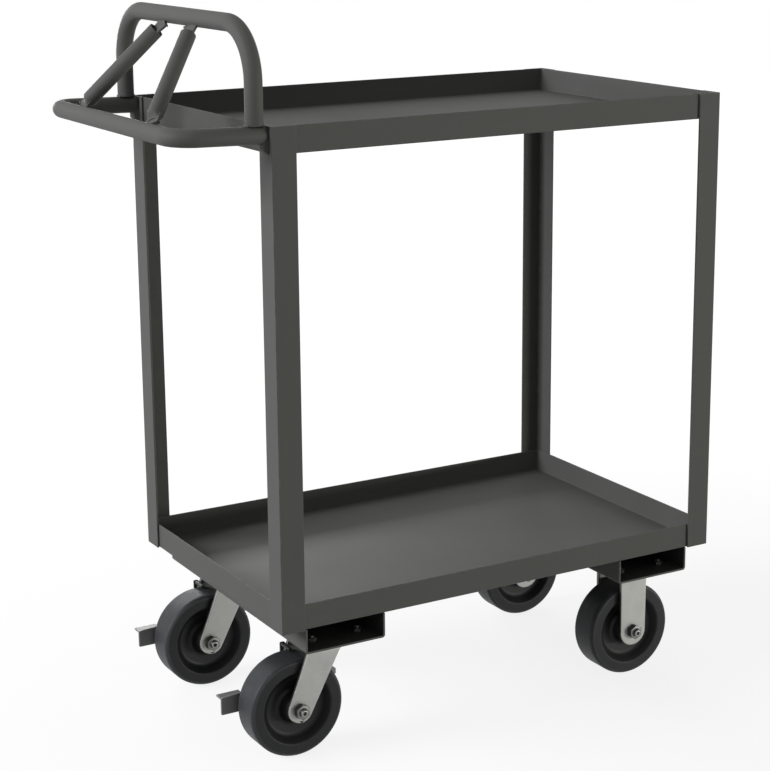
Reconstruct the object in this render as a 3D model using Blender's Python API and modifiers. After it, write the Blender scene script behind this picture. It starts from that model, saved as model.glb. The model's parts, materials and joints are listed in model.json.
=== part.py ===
"""Stock cart: two lipped steel shelves on four angle legs, a raised tube handle, two braked swivel
casters under the handle and two rigid casters at the other end.

X runs along the cart with the handle at -X, Y across it, Z up. The origin is on the floor, under
the middle of the whole outline. All lengths are metres.
"""

import math

import bmesh
import bpy
from mathutils import Matrix, Vector

# Fits
CLEARANCE = 0.0003
WELD = 0.00001

# Frame
LENGTH = 0.770
WIDTH = 0.482
LEG_HEIGHT = 0.729
LIP_HEIGHT = 0.039
SHEET = 0.0019
SHEET_INNER_BEND = 0.0006
ANGLE_WIDTH = 0.0381
ANGLE_THICKNESS = 0.0032
ANGLE_EDGE = 0.0008
ANGLE_FILLET = 0.0025

# Channels that carry the casters
CHANNEL_MARGIN = 0.015
CHANNEL_HEIGHT = 0.038
CHANNEL_THICKNESS = 0.003
CHANNEL_INNER_BEND = 0.0015
CHANNEL_STEP = 0.0014

# Handle
TUBE_RADIUS = 0.0127
REACH = 0.133
LOOP_INSET = 0.018
LOOP_RISE = 0.0037
LOOP_BEND = 0.034
LOOP_GAP = 0.0038
UPPER_RISE = 0.135
UPPER_BEND = 0.076
STRUT_RADIUS = 0.0105
STRUT_FOOT_SPREAD = 0.133
STRUT_HEAD_SPREAD = 0.042
STRAP_WIDTH = 0.0195
STRAP_THICKNESS = 0.006
STRAP_SHOW = 0.018
PAD_WIDTH = 0.018
PAD_DEPTH = 0.0075
PAD_TOP_DROP = 0.0033
PAD_HEIGHT = 0.0353
PAD_CHAMFER = 0.0055
PAD_EDGE = 0.0005

# Wheels
WHEEL_RADIUS = 0.0762
WHEEL_WIDTH = 0.0508
HUB_STEP = 0.0020
BUSHING_STEP = 0.0008
BUSHING_WALL = 0.00285
AXLE_RADIUS = 0.00635
DISH_DEPTH = 0.0140
TREAD_SHARE = 0.84
SHOULDER_SHARE = 0.955
RIM_SHARE = 0.740
DISH_SHARE = 0.610
WEB_SHARE = 0.340
HUB_SHARE = 0.250

# Casters
CASTER_INSET = 0.0854
WHEEL_ROOM = 0.0129
FORK_THICKNESS = 0.006
LEAD = 0.052
SWIVEL_ARM_WIDTH = 0.056
RIGID_ARM_WIDTH = 0.050
ARM_END_RADIUS = 0.0195
ARM_ROUND_SHARE = 0.98
ARM_TOP_SHIFT = 0.0075
RIGID_END_RADIUS = 0.024
PLATE_THICKNESS = 0.006
PLATE_CORNER = 0.008
CROWN_THICKNESS = 0.006
CROWN_CORNER = 0.014
RACE_HEIGHT = 0.006
RACE_RADIUS = 0.037
KINGPIN_RADIUS = 0.008
KINGPIN_NUT_APOTHEM = 0.0135
KINGPIN_NUT_HEIGHT = 0.008
THREAD_END = 0.003

# Fasteners
BOLT_RADIUS = 0.004
BOLT_APOTHEM = 0.0065
BOLT_HEAD = 0.005
BOLT_NUT = 0.0065
BOLT_SPACING_X = 0.077
BOLT_SPACING_Y = 0.092
BOLT_EDGE_X = 0.0125
BOLT_EDGE_Y = 0.01115
AXLE_APOTHEM = 0.0105
AXLE_HEAD = 0.0075
AXLE_NUT = 0.0085
AXLE_END = 0.005
DIMPLE_RADIUS = 0.0025

# Brake lever, measured from its pivot
PIVOT_ALONG = 0.020
PIVOT_ABOVE = 0.041
PIVOT_RADIUS = 0.004
PIVOT_EYE = 0.014
LEVER_THICKNESS = 0.003
LEVER_EDGE = 0.002
PEDAL_TIP = 0.117
PEDAL_LENGTH = 0.037
PEDAL_TOP = 0.026
PEDAL_DROP = 0.053
PEDAL_FLANGE = 0.0175
LEVER_ARM = 0.012
TAIL_TIP = 0.077
TAIL_DROP = 0.019
TAIL_HEIGHT = 0.010
TAIL_FLANGE = 0.012
SHOE_ANGLE = math.radians(85.5)
SHOE_GAP = 0.0021
SHOE_THICKNESS = 0.004
SHOE_LENGTH = 0.005
SHOE_START = 0.008
SHOE_EDGE = 0.001

# Smoothness
ROUND = 32
SMALL_ROUND = 16
BOLT_ROUND = 10
ARC_STEP = math.radians(18)
BEND_STEPS = 9

# Worked out from the above
INSET = ANGLE_THICKNESS + CLEARANCE
SHEET_BEND = SHEET + SHEET_INNER_BEND
CHANNEL_BEND = CHANNEL_THICKNESS + CHANNEL_INNER_BEND
PLATE_LENGTH = BOLT_SPACING_X + 2 * BOLT_EDGE_X
PLATE_WIDTH = BOLT_SPACING_Y + 2 * BOLT_EDGE_Y
CHANNEL_WIDTH = PLATE_LENGTH + 2 * CHANNEL_MARGIN
STAND_OFF = TUBE_RADIUS + LOOP_GAP
HUB_WIDTH = WHEEL_WIDTH + 2 * HUB_STEP
BUSHING_WIDTH = HUB_WIDTH + 2 * BUSHING_STEP
BUSHING_RADIUS = AXLE_RADIUS + CLEARANCE + BUSHING_WALL
BORE_RADIUS = BUSHING_RADIUS + CLEARANCE
FORK_GAP = BUSHING_WIDTH + 2 * CLEARANCE
HANDLE_X = (REACH + TUBE_RADIUS - LENGTH) / 2
END_X = HANDLE_X + LENGTH
NEAR_Y = -WIDTH / 2
AXLE_Z = WHEEL_RADIUS
CROWN_BOTTOM = 2 * WHEEL_RADIUS + WHEEL_ROOM
CROWN_TOP = CROWN_BOTTOM + CROWN_THICKNESS
PLATE_BOTTOM = CROWN_TOP + RACE_HEIGHT + 2 * CLEARANCE
MOUNT_HEIGHT = PLATE_BOTTOM + PLATE_THICKNESS + CLEARANCE
BASE_Z = MOUNT_HEIGHT + CHANNEL_HEIGHT + CLEARANCE
TOP_Z = BASE_Z + LEG_HEIGHT
FORK_FACE = FORK_GAP / 2 + FORK_THICKNESS
CASTER_Y = WIDTH / 2 - CASTER_INSET
CHANNEL_MIDDLE = ANGLE_WIDTH + CHANNEL_STEP + CHANNEL_WIDTH / 2
LOOP_Z = TOP_Z - TUBE_RADIUS
FRONT_Z = LOOP_Z + LOOP_RISE
UPPER_Z = TOP_Z + UPPER_RISE
LOOP_Y = WIDTH / 2 - LOOP_INSET

PARTS = None
CUTTERS = None


def clear_scene():
    """Remove every object, so that the cart stands alone."""
    for obj in list(bpy.data.objects):
        bpy.data.objects.remove(obj)


def make_collection(name):
    collection = bpy.data.collections.new(name)
    bpy.context.scene.collection.children.link(collection)
    return collection


def make_material(name, colour, roughness, metallic):
    """A Principled material with one colour."""
    material = bpy.data.materials.new(name)
    material.use_nodes = True
    shader = material.node_tree.nodes["Principled BSDF"]
    shader.inputs["Base Color"].default_value = (*colour, 1)
    shader.inputs["Roughness"].default_value = roughness
    shader.inputs["Metallic"].default_value = metallic
    return material


def place(name, data, location, material, collection=None):
    """Make an object of a mesh or a curve in the cart's collection."""
    obj = bpy.data.objects.new(name, data)
    obj.location = location
    if not data.materials:
        data.materials.append(material)
    (collection or PARTS).objects.link(obj)
    return obj


def make_mesh(name, bm):
    mesh = bpy.data.meshes.new(name)
    bm.to_mesh(mesh)
    bm.free()
    return mesh


def box_mesh(name, size):
    """A box of this size round its own middle."""
    bm = bmesh.new()
    bmesh.ops.create_cube(bm, size=1)
    bmesh.ops.scale(bm, vec=size, verts=bm.verts)
    return make_mesh(name, bm)


def prism_mesh(name, sides, radius, low, high, axis="Z"):
    """A cylinder, or a prism with few sides, from low to high along its axis."""
    bm = bmesh.new()
    bmesh.ops.create_cone(
        bm, cap_ends=True, segments=sides, radius1=radius, radius2=radius, depth=high - low
    )
    bmesh.ops.translate(bm, vec=(0, 0, (low + high) / 2), verts=bm.verts)
    if axis == "Y":
        bmesh.ops.rotate(bm, matrix=Matrix.Rotation(-math.pi / 2, 3, "X"), verts=bm.verts)
    return make_mesh(name, bm)


def hexagon(name, apothem, low, high, axis="Z"):
    return prism_mesh(name, 6, apothem / math.cos(math.pi / 6), low, high, axis)


def smooth(obj, angle=math.radians(35)):
    obj.data.shade_smooth()
    obj.data.set_sharp_from_angle(angle=angle)


def bevel(obj, width, segments=2):
    modifier = obj.modifiers.new("Edges", "BEVEL")
    modifier.width = width
    modifier.segments = segments
    modifier.limit_method = "ANGLE"
    modifier.angle_limit = math.radians(40)
    return modifier


def boolean(obj, other, operation):
    """Join the other object to this one or cut it away; the other becomes a hidden cutter."""
    modifier = obj.modifiers.new(operation.title(), "BOOLEAN")
    modifier.operation = operation
    modifier.solver = "EXACT"
    modifier.object = other
    for collection in list(other.users_collection):
        collection.objects.unlink(other)
    CUTTERS.objects.link(other)
    other.hide_render = True
    other.display_type = "WIRE"


def baked(obj, name):
    """The mesh that an object shows, with its loose caps welded and its place kept in it."""
    bpy.context.view_layer.update()
    graph = bpy.context.evaluated_depsgraph_get()
    mesh = bpy.data.meshes.new_from_object(obj.evaluated_get(graph))
    mesh.name = name
    bm = bmesh.new()
    bm.from_mesh(mesh)
    bmesh.ops.remove_doubles(bm, verts=bm.verts, dist=WELD)
    bm.to_mesh(mesh)
    bm.free()
    return mesh


def remade(obj):
    """The same object as a mesh, in the same place, for joining and cutting."""
    mesh = baked(obj, obj.name)
    name, matrix = obj.name, obj.matrix_world.copy()
    bpy.data.objects.remove(obj)
    solid = bpy.data.objects.new(name, mesh)
    solid.matrix_world = matrix
    PARTS.objects.link(solid)
    return solid


def arc(centre, radius, start, end):
    """Points along an arc, ends included."""
    steps = max(1, math.ceil(abs(end - start) / ARC_STEP - WELD))
    turn = (end - start) / steps
    return [
        (centre[0] + radius * math.cos(start + turn * i), centre[1] + radius * math.sin(start + turn * i))
        for i in range(steps + 1)
    ]


def rounded(corners):
    """An outline through (x, y, radius) corners, each rounded as far as its two sides have room."""
    outline = []
    count = len(corners)
    for i, (x, y, radius) in enumerate(corners):
        here = Vector((x, y))
        before = Vector(corners[i - 1][:2]) - here
        after = Vector(corners[(i + 1) % count][:2]) - here
        if radius == 0:
            outline.append((x, y))
            continue
        half = before.angle(after) / 2
        reach = min(radius / math.tan(half), before.length / 2, after.length / 2)
        radius = reach * math.tan(half)
        before.normalize()
        after.normalize()
        centre = here + (before + after).normalized() * (radius / math.sin(half))
        first = here + before * reach - centre
        last = here + after * reach - centre
        start = math.atan2(first.y, first.x)
        turn = math.atan2(first.cross(last), first.dot(last))
        outline += arc(centre, radius, start, start + turn)
    return outline


def rectangle(width, height, radius, middle=(0, 0)):
    x, y = width / 2, height / 2
    corners = ((-x, -y), (x, -y), (x, y), (-x, y))
    return rounded([(middle[0] + a, middle[1] + b, radius) for a, b in corners])


def circle(radius, middle=(0, 0), points=SMALL_ROUND):
    return [
        (middle[0] + radius * math.cos(turn), middle[1] + radius * math.sin(turn))
        for turn in (2 * math.pi * i / points for i in range(points))
    ]


def plate(name, outlines, thickness, location, material, upright=False):
    """A flat outline with its holes, as thick as given; upright ones stand in the XZ plane."""
    curve = bpy.data.curves.new(name, "CURVE")
    curve.dimensions = "2D"
    curve.fill_mode = "BOTH"
    curve.extrude = thickness / 2
    for outline in outlines:
        spline = curve.splines.new("POLY")
        spline.points.add(len(outline) - 1)
        for point, (x, y) in zip(spline.points, outline):
            point.co = (x, y, 0, 1)
        spline.use_cyclic_u = True
    obj = place(name, curve, location, material)
    if upright:
        obj.rotation_euler.x = math.pi / 2
    return obj


def bent_path(corners, radius):
    """Points along straight runs joined by round bends."""
    corners = [Vector(corner) for corner in corners]
    path = [corners[0]]
    for before, here, after in zip(corners, corners[1:], corners[2:]):
        towards, away = (before - here).normalized(), (after - here).normalized()
        half = towards.angle(away) / 2
        centre = here + (towards + away).normalized() * (radius / math.sin(half))
        first = here + towards * (radius / math.tan(half)) - centre
        last = here + away * (radius / math.tan(half)) - centre
        path += [centre + first.slerp(last, i / BEND_STEPS) * radius for i in range(BEND_STEPS + 1)]
    return path + [corners[-1]]


def tube(name, path, radius, material):
    """A round tube along a path, closed at its ends."""
    curve = bpy.data.curves.new(name, "CURVE")
    curve.dimensions = "3D"
    curve.bevel_depth = radius
    curve.bevel_resolution = 4
    curve.use_fill_caps = True
    spline = curve.splines.new("POLY")
    spline.points.add(len(path) - 1)
    for point, position in zip(spline.points, path):
        point.co = (*position, 1)
    return place(name, curve, (0, 0, 0), material)


def turned(name, profile, location, material, axis="Y", steps=ROUND, closed=True):
    """A profile of (radius, height) points turned round an axis."""
    bm = bmesh.new()
    if axis == "Y":
        verts = [bm.verts.new((radius, height, 0)) for radius, height in profile]
    else:
        verts = [bm.verts.new((radius, 0, height)) for radius, height in profile]
    pairs = list(zip(verts, verts[1:]))
    if closed:
        pairs.append((verts[-1], verts[0]))
    for pair in pairs:
        bm.edges.new(pair)
    obj = place(name, make_mesh(name, bm), location, material)
    screw = obj.modifiers.new("Turn", "SCREW")
    screw.axis = axis
    screw.steps = screw.render_steps = steps
    screw.use_merge_vertices = True
    screw.merge_threshold = WELD
    screw.use_smooth_shade = True
    return obj


def add_legs(paint):
    """Four angles that wrap the shelves' corners."""
    wide, thick = ANGLE_WIDTH, ANGLE_THICKNESS
    for end, x, along in (("handle", HANDLE_X, 1), ("front", END_X, -1)):
        for side, y, across in (("near", NEAR_Y, 1), ("far", -NEAR_Y, -1)):
            corners = [
                (0, 0, ANGLE_EDGE),
                (wide, 0, ANGLE_EDGE),
                (wide, thick, ANGLE_EDGE),
                (thick, thick, ANGLE_FILLET),
                (thick, wide, ANGLE_EDGE),
                (0, wide, ANGLE_EDGE),
            ]
            turned_corners = [(a * along, b * across, radius) for a, b, radius in corners]
            plate(
                f"leg_{end}_{side}",
                [rounded(turned_corners)],
                LEG_HEIGHT,
                (x, y, BASE_Z + LEG_HEIGHT / 2),
                paint,
            )


def add_shelf(name, bottom, paint):
    """A deck with a lip turned up on every side: an open tray of bent sheet."""
    size = Vector((LENGTH - 2 * INSET, WIDTH - 2 * INSET, LIP_HEIGHT))
    bm = bmesh.new()
    bmesh.ops.create_cube(bm, size=1)
    bmesh.ops.scale(bm, vec=size, verts=bm.verts)
    top = [face for face in bm.faces if face.normal.z > 1 / 2]
    bmesh.ops.delete(bm, geom=top, context="FACES_ONLY")
    middle = ((HANDLE_X + END_X) / 2, 0, bottom + LIP_HEIGHT / 2)
    shelf = place(name, make_mesh(name, bm), middle, paint)
    bevel(shelf, SHEET_BEND)
    wall = shelf.modifiers.new("Sheet", "SOLIDIFY")
    wall.thickness = SHEET
    wall.offset = -1
    smooth(shelf)
    return shelf


def channel_places():
    """Each channel's name and the middle of its width along X."""
    return (
        ("handle", HANDLE_X + CHANNEL_MIDDLE),
        ("front", END_X - CHANNEL_MIDDLE),
    )


def bolt_places(x):
    """The bolts of the two casters on the channel at x."""
    for side in (-1, 1):
        for along in (-1, 1):
            for across in (-1, 1):
                yield (
                    x + along * BOLT_SPACING_X / 2,
                    side * CASTER_Y + across * BOLT_SPACING_Y / 2,
                )


def add_channels(paint):
    """U sections with their walls up, open at both sides of the cart, drilled for the bolts."""
    half, tall, thick = CHANNEL_WIDTH / 2, CHANNEL_HEIGHT, CHANNEL_THICKNESS
    section = rounded([
        (-half, 0, CHANNEL_BEND),
        (half, 0, CHANNEL_BEND),
        (half, tall, 0),
        (half - thick, tall, 0),
        (half - thick, thick, CHANNEL_INNER_BEND),
        (thick - half, thick, CHANNEL_INNER_BEND),
        (thick - half, tall, 0),
        (-half, tall, 0),
    ])
    for end, x in channel_places():
        channel = remade(
            plate(
                f"channel_{end}", [section], WIDTH - 2 * INSET, (x, 0, MOUNT_HEIGHT),
                paint, upright=True,
            )
        )
        drill = bmesh.new()
        for bolt_x, bolt_y in bolt_places(x):
            made = bmesh.ops.create_cone(
                drill, cap_ends=True, segments=BOLT_ROUND, radius1=BOLT_RADIUS + CLEARANCE,
                radius2=BOLT_RADIUS + CLEARANCE, depth=4 * thick,
            )
            bmesh.ops.translate(drill, vec=(bolt_x, bolt_y, MOUNT_HEIGHT), verts=made["verts"])
        cutter = place(f"cut_channel_{end}", make_mesh("drill", drill), (0, 0, 0), paint)
        boolean(channel, cutter, "DIFFERENCE")


def loop_axis_z(x):
    """Height of the lower loop's axis at x, which rises towards the front of the handle."""
    return LOOP_Z + LOOP_RISE * (HANDLE_X - x) / REACH


def add_lower_loop(paint):
    """Out from one leg, across and back to the other, with a block at each end."""
    front = HANDLE_X - REACH
    start = HANDLE_X - PAD_DEPTH / 3
    corners = (
        (start, -LOOP_Y, loop_axis_z(start)),
        (front, -LOOP_Y, FRONT_Z),
        (front, LOOP_Y, FRONT_Z),
        (start, LOOP_Y, loop_axis_z(start)),
    )
    loop = remade(tube("handle_lower", bent_path(corners, LOOP_BEND), TUBE_RADIUS, paint))
    top = TOP_Z - PAD_TOP_DROP
    outline = rounded([
        (-PAD_DEPTH, PAD_CHAMFER - PAD_HEIGHT, PAD_EDGE),
        (-CLEARANCE, -PAD_HEIGHT, 0),
        (-CLEARANCE, 0, 0),
        (-PAD_DEPTH, 0, PAD_EDGE),
    ])
    for side in (-1, 1):
        block = plate(
            f"join_pad_{side}", [outline], PAD_WIDTH, (HANDLE_X, side * LOOP_Y, top), paint,
            upright=True,
        )
        boolean(loop, remade(block), "UNION")
    smooth(loop)


def add_upper_loop(paint):
    """Stands on the lower loop close to the legs, its feet cut square."""
    x = HANDLE_X - STAND_OFF
    slope = math.atan(LOOP_RISE / REACH)
    foot = loop_axis_z(x - TUBE_RADIUS) + TUBE_RADIUS / math.cos(slope) + CLEARANCE
    corners = (
        (x, -LOOP_Y, foot),
        (x, -LOOP_Y, UPPER_Z),
        (x, LOOP_Y, UPPER_Z),
        (x, LOOP_Y, foot),
    )
    tube("handle_upper", bent_path(corners, UPPER_BEND), TUBE_RADIUS, paint)


def add_struts(paint):
    """Round tubes with flat straps at their ends, coped to the two loops."""
    for name, side in (("near", -1), ("far", 1)):
        foot = Vector((HANDLE_X - REACH, side * STRUT_FOOT_SPREAD, FRONT_Z))
        head = Vector((HANDLE_X - STAND_OFF, side * STRUT_HEAD_SPREAD, UPPER_Z))
        length = (head - foot).length
        up = (head - foot) / length
        wide = (Vector((0, 1, 0)) - up * up.y).normalized()
        turn = Matrix((wide, up.cross(wide), up)).transposed().to_4x4()
        turn.translation = (foot + head) / 2
        half = length / 2 - TUBE_RADIUS - STRAP_SHOW
        strut = place(
            f"strut_{name}",
            prism_mesh("strut", SMALL_ROUND, STRUT_RADIUS, -half, half),
            (0, 0, 0),
            paint,
        )
        strap = place(
            f"join_strap_{name}",
            box_mesh("strap", (STRAP_WIDTH, STRAP_THICKNESS, length)),
            (0, 0, 0),
            paint,
        )
        strut.matrix_world = strap.matrix_world = turn
        boolean(strut, strap, "UNION")
        for end, centre in (("foot", foot), ("head", head)):
            cutter = place(
                f"cut_strut_{name}_{end}",
                prism_mesh(
                    "cope", ROUND, TUBE_RADIUS + 2 * CLEARANCE, -2 * STRAP_WIDTH,
                    2 * STRAP_WIDTH, "Y",
                ),
                centre,
                paint,
            )
            boolean(strut, cutter, "DIFFERENCE")
        smooth(strut)


def wheel_profile():
    """The wheel's closed section: bore, hub, dished web, rim and rounded tread, both faces alike."""
    rim, hub = WHEEL_WIDTH / 2, HUB_WIDTH / 2
    floor = rim - DISH_DEPTH
    outer = WHEEL_RADIUS
    face = [
        (outer, rim * TREAD_SHARE),
        (outer * SHOULDER_SHARE, rim),
        (outer * RIM_SHARE, rim),
        (outer * DISH_SHARE, floor),
        (outer * WEB_SHARE, floor * TREAD_SHARE),
        (outer * HUB_SHARE, hub),
        (BORE_RADIUS, hub),
    ]
    lower = [(radius, -height) for radius, height in face]
    return face[::-1] + lower


def axle_bolt_mesh(steel):
    """Hex head on the far side of the fork, thread with a dimpled end on the near side."""
    end = -(FORK_FACE + CLEARANCE + AXLE_NUT + AXLE_END)
    head = FORK_FACE + CLEARANCE
    shaft = turned(
        "axle_shaft",
        [
            (0, head + AXLE_HEAD / 2),
            (AXLE_RADIUS, head + AXLE_HEAD / 2),
            (AXLE_RADIUS, end + AXLE_RADIUS / 5),
            (AXLE_RADIUS * 4 / 5, end),
            (DIMPLE_RADIUS, end),
            (0, end + DIMPLE_RADIUS),
        ],
        (0, 0, 0), steel, steps=SMALL_ROUND, closed=False,
    )
    hexagonal = hexagon("axle_head", AXLE_APOTHEM, head, head + AXLE_HEAD, "Y")
    top = place("axle_head", hexagonal, (0, 0, 0), steel)
    bevel(top, AXLE_HEAD / 8, 1)
    boolean(top, shaft, "UNION")
    mesh = baked(top, "axle_bolt")
    bpy.data.objects.remove(top)
    bpy.data.objects.remove(shaft)
    return mesh


def axle_nut_mesh(steel):
    """A hex nut on the near side of the fork."""
    near = -(FORK_FACE + CLEARANCE)
    nut = place("nut", hexagon("nut", AXLE_APOTHEM, near - AXLE_NUT, near, "Y"), (0, 0, 0), steel)
    bevel(nut, AXLE_NUT / 8, 1)
    low, high = near - 2 * AXLE_NUT, near + AXLE_NUT
    drill = prism_mesh("hole", SMALL_ROUND, AXLE_RADIUS + CLEARANCE, low, high, "Y")
    hole = place("hole", drill, (0, 0, 0), steel)
    boolean(nut, hole, "DIFFERENCE")
    mesh = baked(nut, "axle_nut")
    bpy.data.objects.remove(nut)
    bpy.data.objects.remove(hole)
    return mesh


def stud_mesh(name, steel, parts):
    """Coaxial prisms of (sides, radius, low, high) joined into one body along Z."""
    pieces = [
        place(f"{name}_{i}", prism_mesh(name, sides, radius, low, high), (0, 0, 0), steel)
        for i, (sides, radius, low, high) in enumerate(parts)
    ]
    for piece in pieces[1:]:
        boolean(pieces[0], piece, "UNION")
    mesh = baked(pieces[0], name)
    for piece in pieces:
        bpy.data.objects.remove(piece)
    return mesh


def mounting_bolt_mesh(steel):
    """Head under the caster plate, nut and thread end inside the channel."""
    corner = BOLT_APOTHEM / math.cos(math.pi / 6)
    under = PLATE_BOTTOM - CLEARANCE
    over = MOUNT_HEIGHT + CHANNEL_THICKNESS + CLEARANCE
    return stud_mesh("mounting_bolt", steel, [
        (BOLT_ROUND, BOLT_RADIUS, under - BOLT_HEAD / 2, over + BOLT_NUT + THREAD_END),
        (6, corner, under - BOLT_HEAD, under),
        (6, corner, over, over + BOLT_NUT),
    ])


def kingpin_mesh(steel):
    """Pin through plate, race and crown, with a nut under the crown."""
    corner = KINGPIN_NUT_APOTHEM / math.cos(math.pi / 6)
    nut = CROWN_BOTTOM - CLEARANCE
    low = nut - KINGPIN_NUT_HEIGHT
    return stud_mesh("kingpin", steel, [
        (SMALL_ROUND, KINGPIN_RADIUS, low - THREAD_END, MOUNT_HEIGHT - 2 * CLEARANCE),
        (6, corner, low, nut),
    ])


def arm_outline(top_middle, half_top, axle, radius):
    """A leaning bar: straight across its top, round about the axle."""
    top_middle, axle = Vector(top_middle), Vector(axle)
    down = (axle - top_middle).normalized()
    across = Vector((-down.y, down.x)) * radius
    low = axle + down * radius
    soft = radius * ARM_ROUND_SHARE
    return rounded([
        (top_middle.x - half_top, top_middle.y, 0),
        (*(low - across), soft),
        (*(low + across), soft),
        (top_middle.x + half_top, top_middle.y, 0),
    ])


def add_wheel_set(name, axle, mats, meshes):
    """Wheel, bushing, axle bolt and nut on an axle at this place."""
    turned(f"wheel_{name}", wheel_profile(), axle, mats["phenolic"])
    half = BUSHING_WIDTH / 2
    inner = AXLE_RADIUS + CLEARANCE
    ring = [(inner, half), (BUSHING_RADIUS, half), (BUSHING_RADIUS, -half), (inner, -half)]
    turned(f"bushing_{name}", ring, axle, mats["steel"], steps=SMALL_ROUND)
    place(f"axle_bolt_{name}", meshes["axle_bolt"], axle, mats["steel"])
    place(f"axle_nut_{name}", meshes["axle_nut"], axle, mats["dark_steel"])


def bolt_holes():
    return [
        circle(
            BOLT_RADIUS + CLEARANCE,
            (along * BOLT_SPACING_X / 2, across * BOLT_SPACING_Y / 2),
            BOLT_ROUND,
        )
        for along in (-1, 1)
        for across in (-1, 1)
    ]


def add_swivel_caster(name, x, y, mats, meshes):
    """Top plate, ball race and king pin, and the fork that turns under them."""
    zinc = mats["zinc"]
    outline = rectangle(PLATE_LENGTH, PLATE_WIDTH, PLATE_CORNER)
    pin_hole = circle(KINGPIN_RADIUS + CLEARANCE)
    plate(
        f"plate_{name}", [outline, pin_hole, *bolt_holes()], PLATE_THICKNESS,
        (x, y, PLATE_BOTTOM + PLATE_THICKNESS / 2), zinc,
    )
    waist = RACE_HEIGHT / 8
    inner = KINGPIN_RADIUS + CLEARANCE
    race = [
        (inner, RACE_HEIGHT),
        (RACE_RADIUS, RACE_HEIGHT),
        (RACE_RADIUS, RACE_HEIGHT / 2 + waist),
        (RACE_RADIUS - RACE_HEIGHT / 2, RACE_HEIGHT / 2),
        (RACE_RADIUS, RACE_HEIGHT / 2 - waist),
        (RACE_RADIUS, 0),
        (inner, 0),
    ]
    turned(f"race_{name}", race, (x, y, CROWN_TOP + CLEARANCE), zinc, axis="Z", steps=SMALL_ROUND)
    place(f"kingpin_{name}", meshes["kingpin"], (x, y, 0), mats["steel"])

    crown = plate(
        f"fork_{name}",
        [
            rectangle(2 * RACE_RADIUS, FORK_GAP + FORK_THICKNESS, CROWN_CORNER),
            pin_hole,
        ],
        CROWN_THICKNESS,
        (x, y, CROWN_BOTTOM + CROWN_THICKNESS / 2),
        zinc,
    )
    fork = remade(crown)
    arm_top = CROWN_TOP - CROWN_THICKNESS / 4
    hub = (-LEAD, AXLE_Z)
    leaning = arm_outline((-ARM_TOP_SHIFT, arm_top), SWIVEL_ARM_WIDTH / 2, hub, ARM_END_RADIUS)
    for side in (-1, 1):
        holes = [circle(AXLE_RADIUS + CLEARANCE, hub)]
        if side > 0:
            pivot = (PIVOT_ALONG - LEAD, AXLE_Z + PIVOT_ABOVE)
            holes.append(circle(PIVOT_RADIUS + CLEARANCE, pivot))
        arm = plate(
            f"join_arm_{name}_{side}",
            [leaning, *holes],
            FORK_THICKNESS,
            (x, y + side * (FORK_GAP + FORK_THICKNESS) / 2, 0),
            zinc,
            upright=True,
        )
        boolean(fork, remade(arm), "UNION")
    add_wheel_set(name, (x - LEAD, y, AXLE_Z), mats, meshes)
    add_brake(name, x - LEAD + PIVOT_ALONG, y, AXLE_Z + PIVOT_ABOVE, mats)


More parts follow.
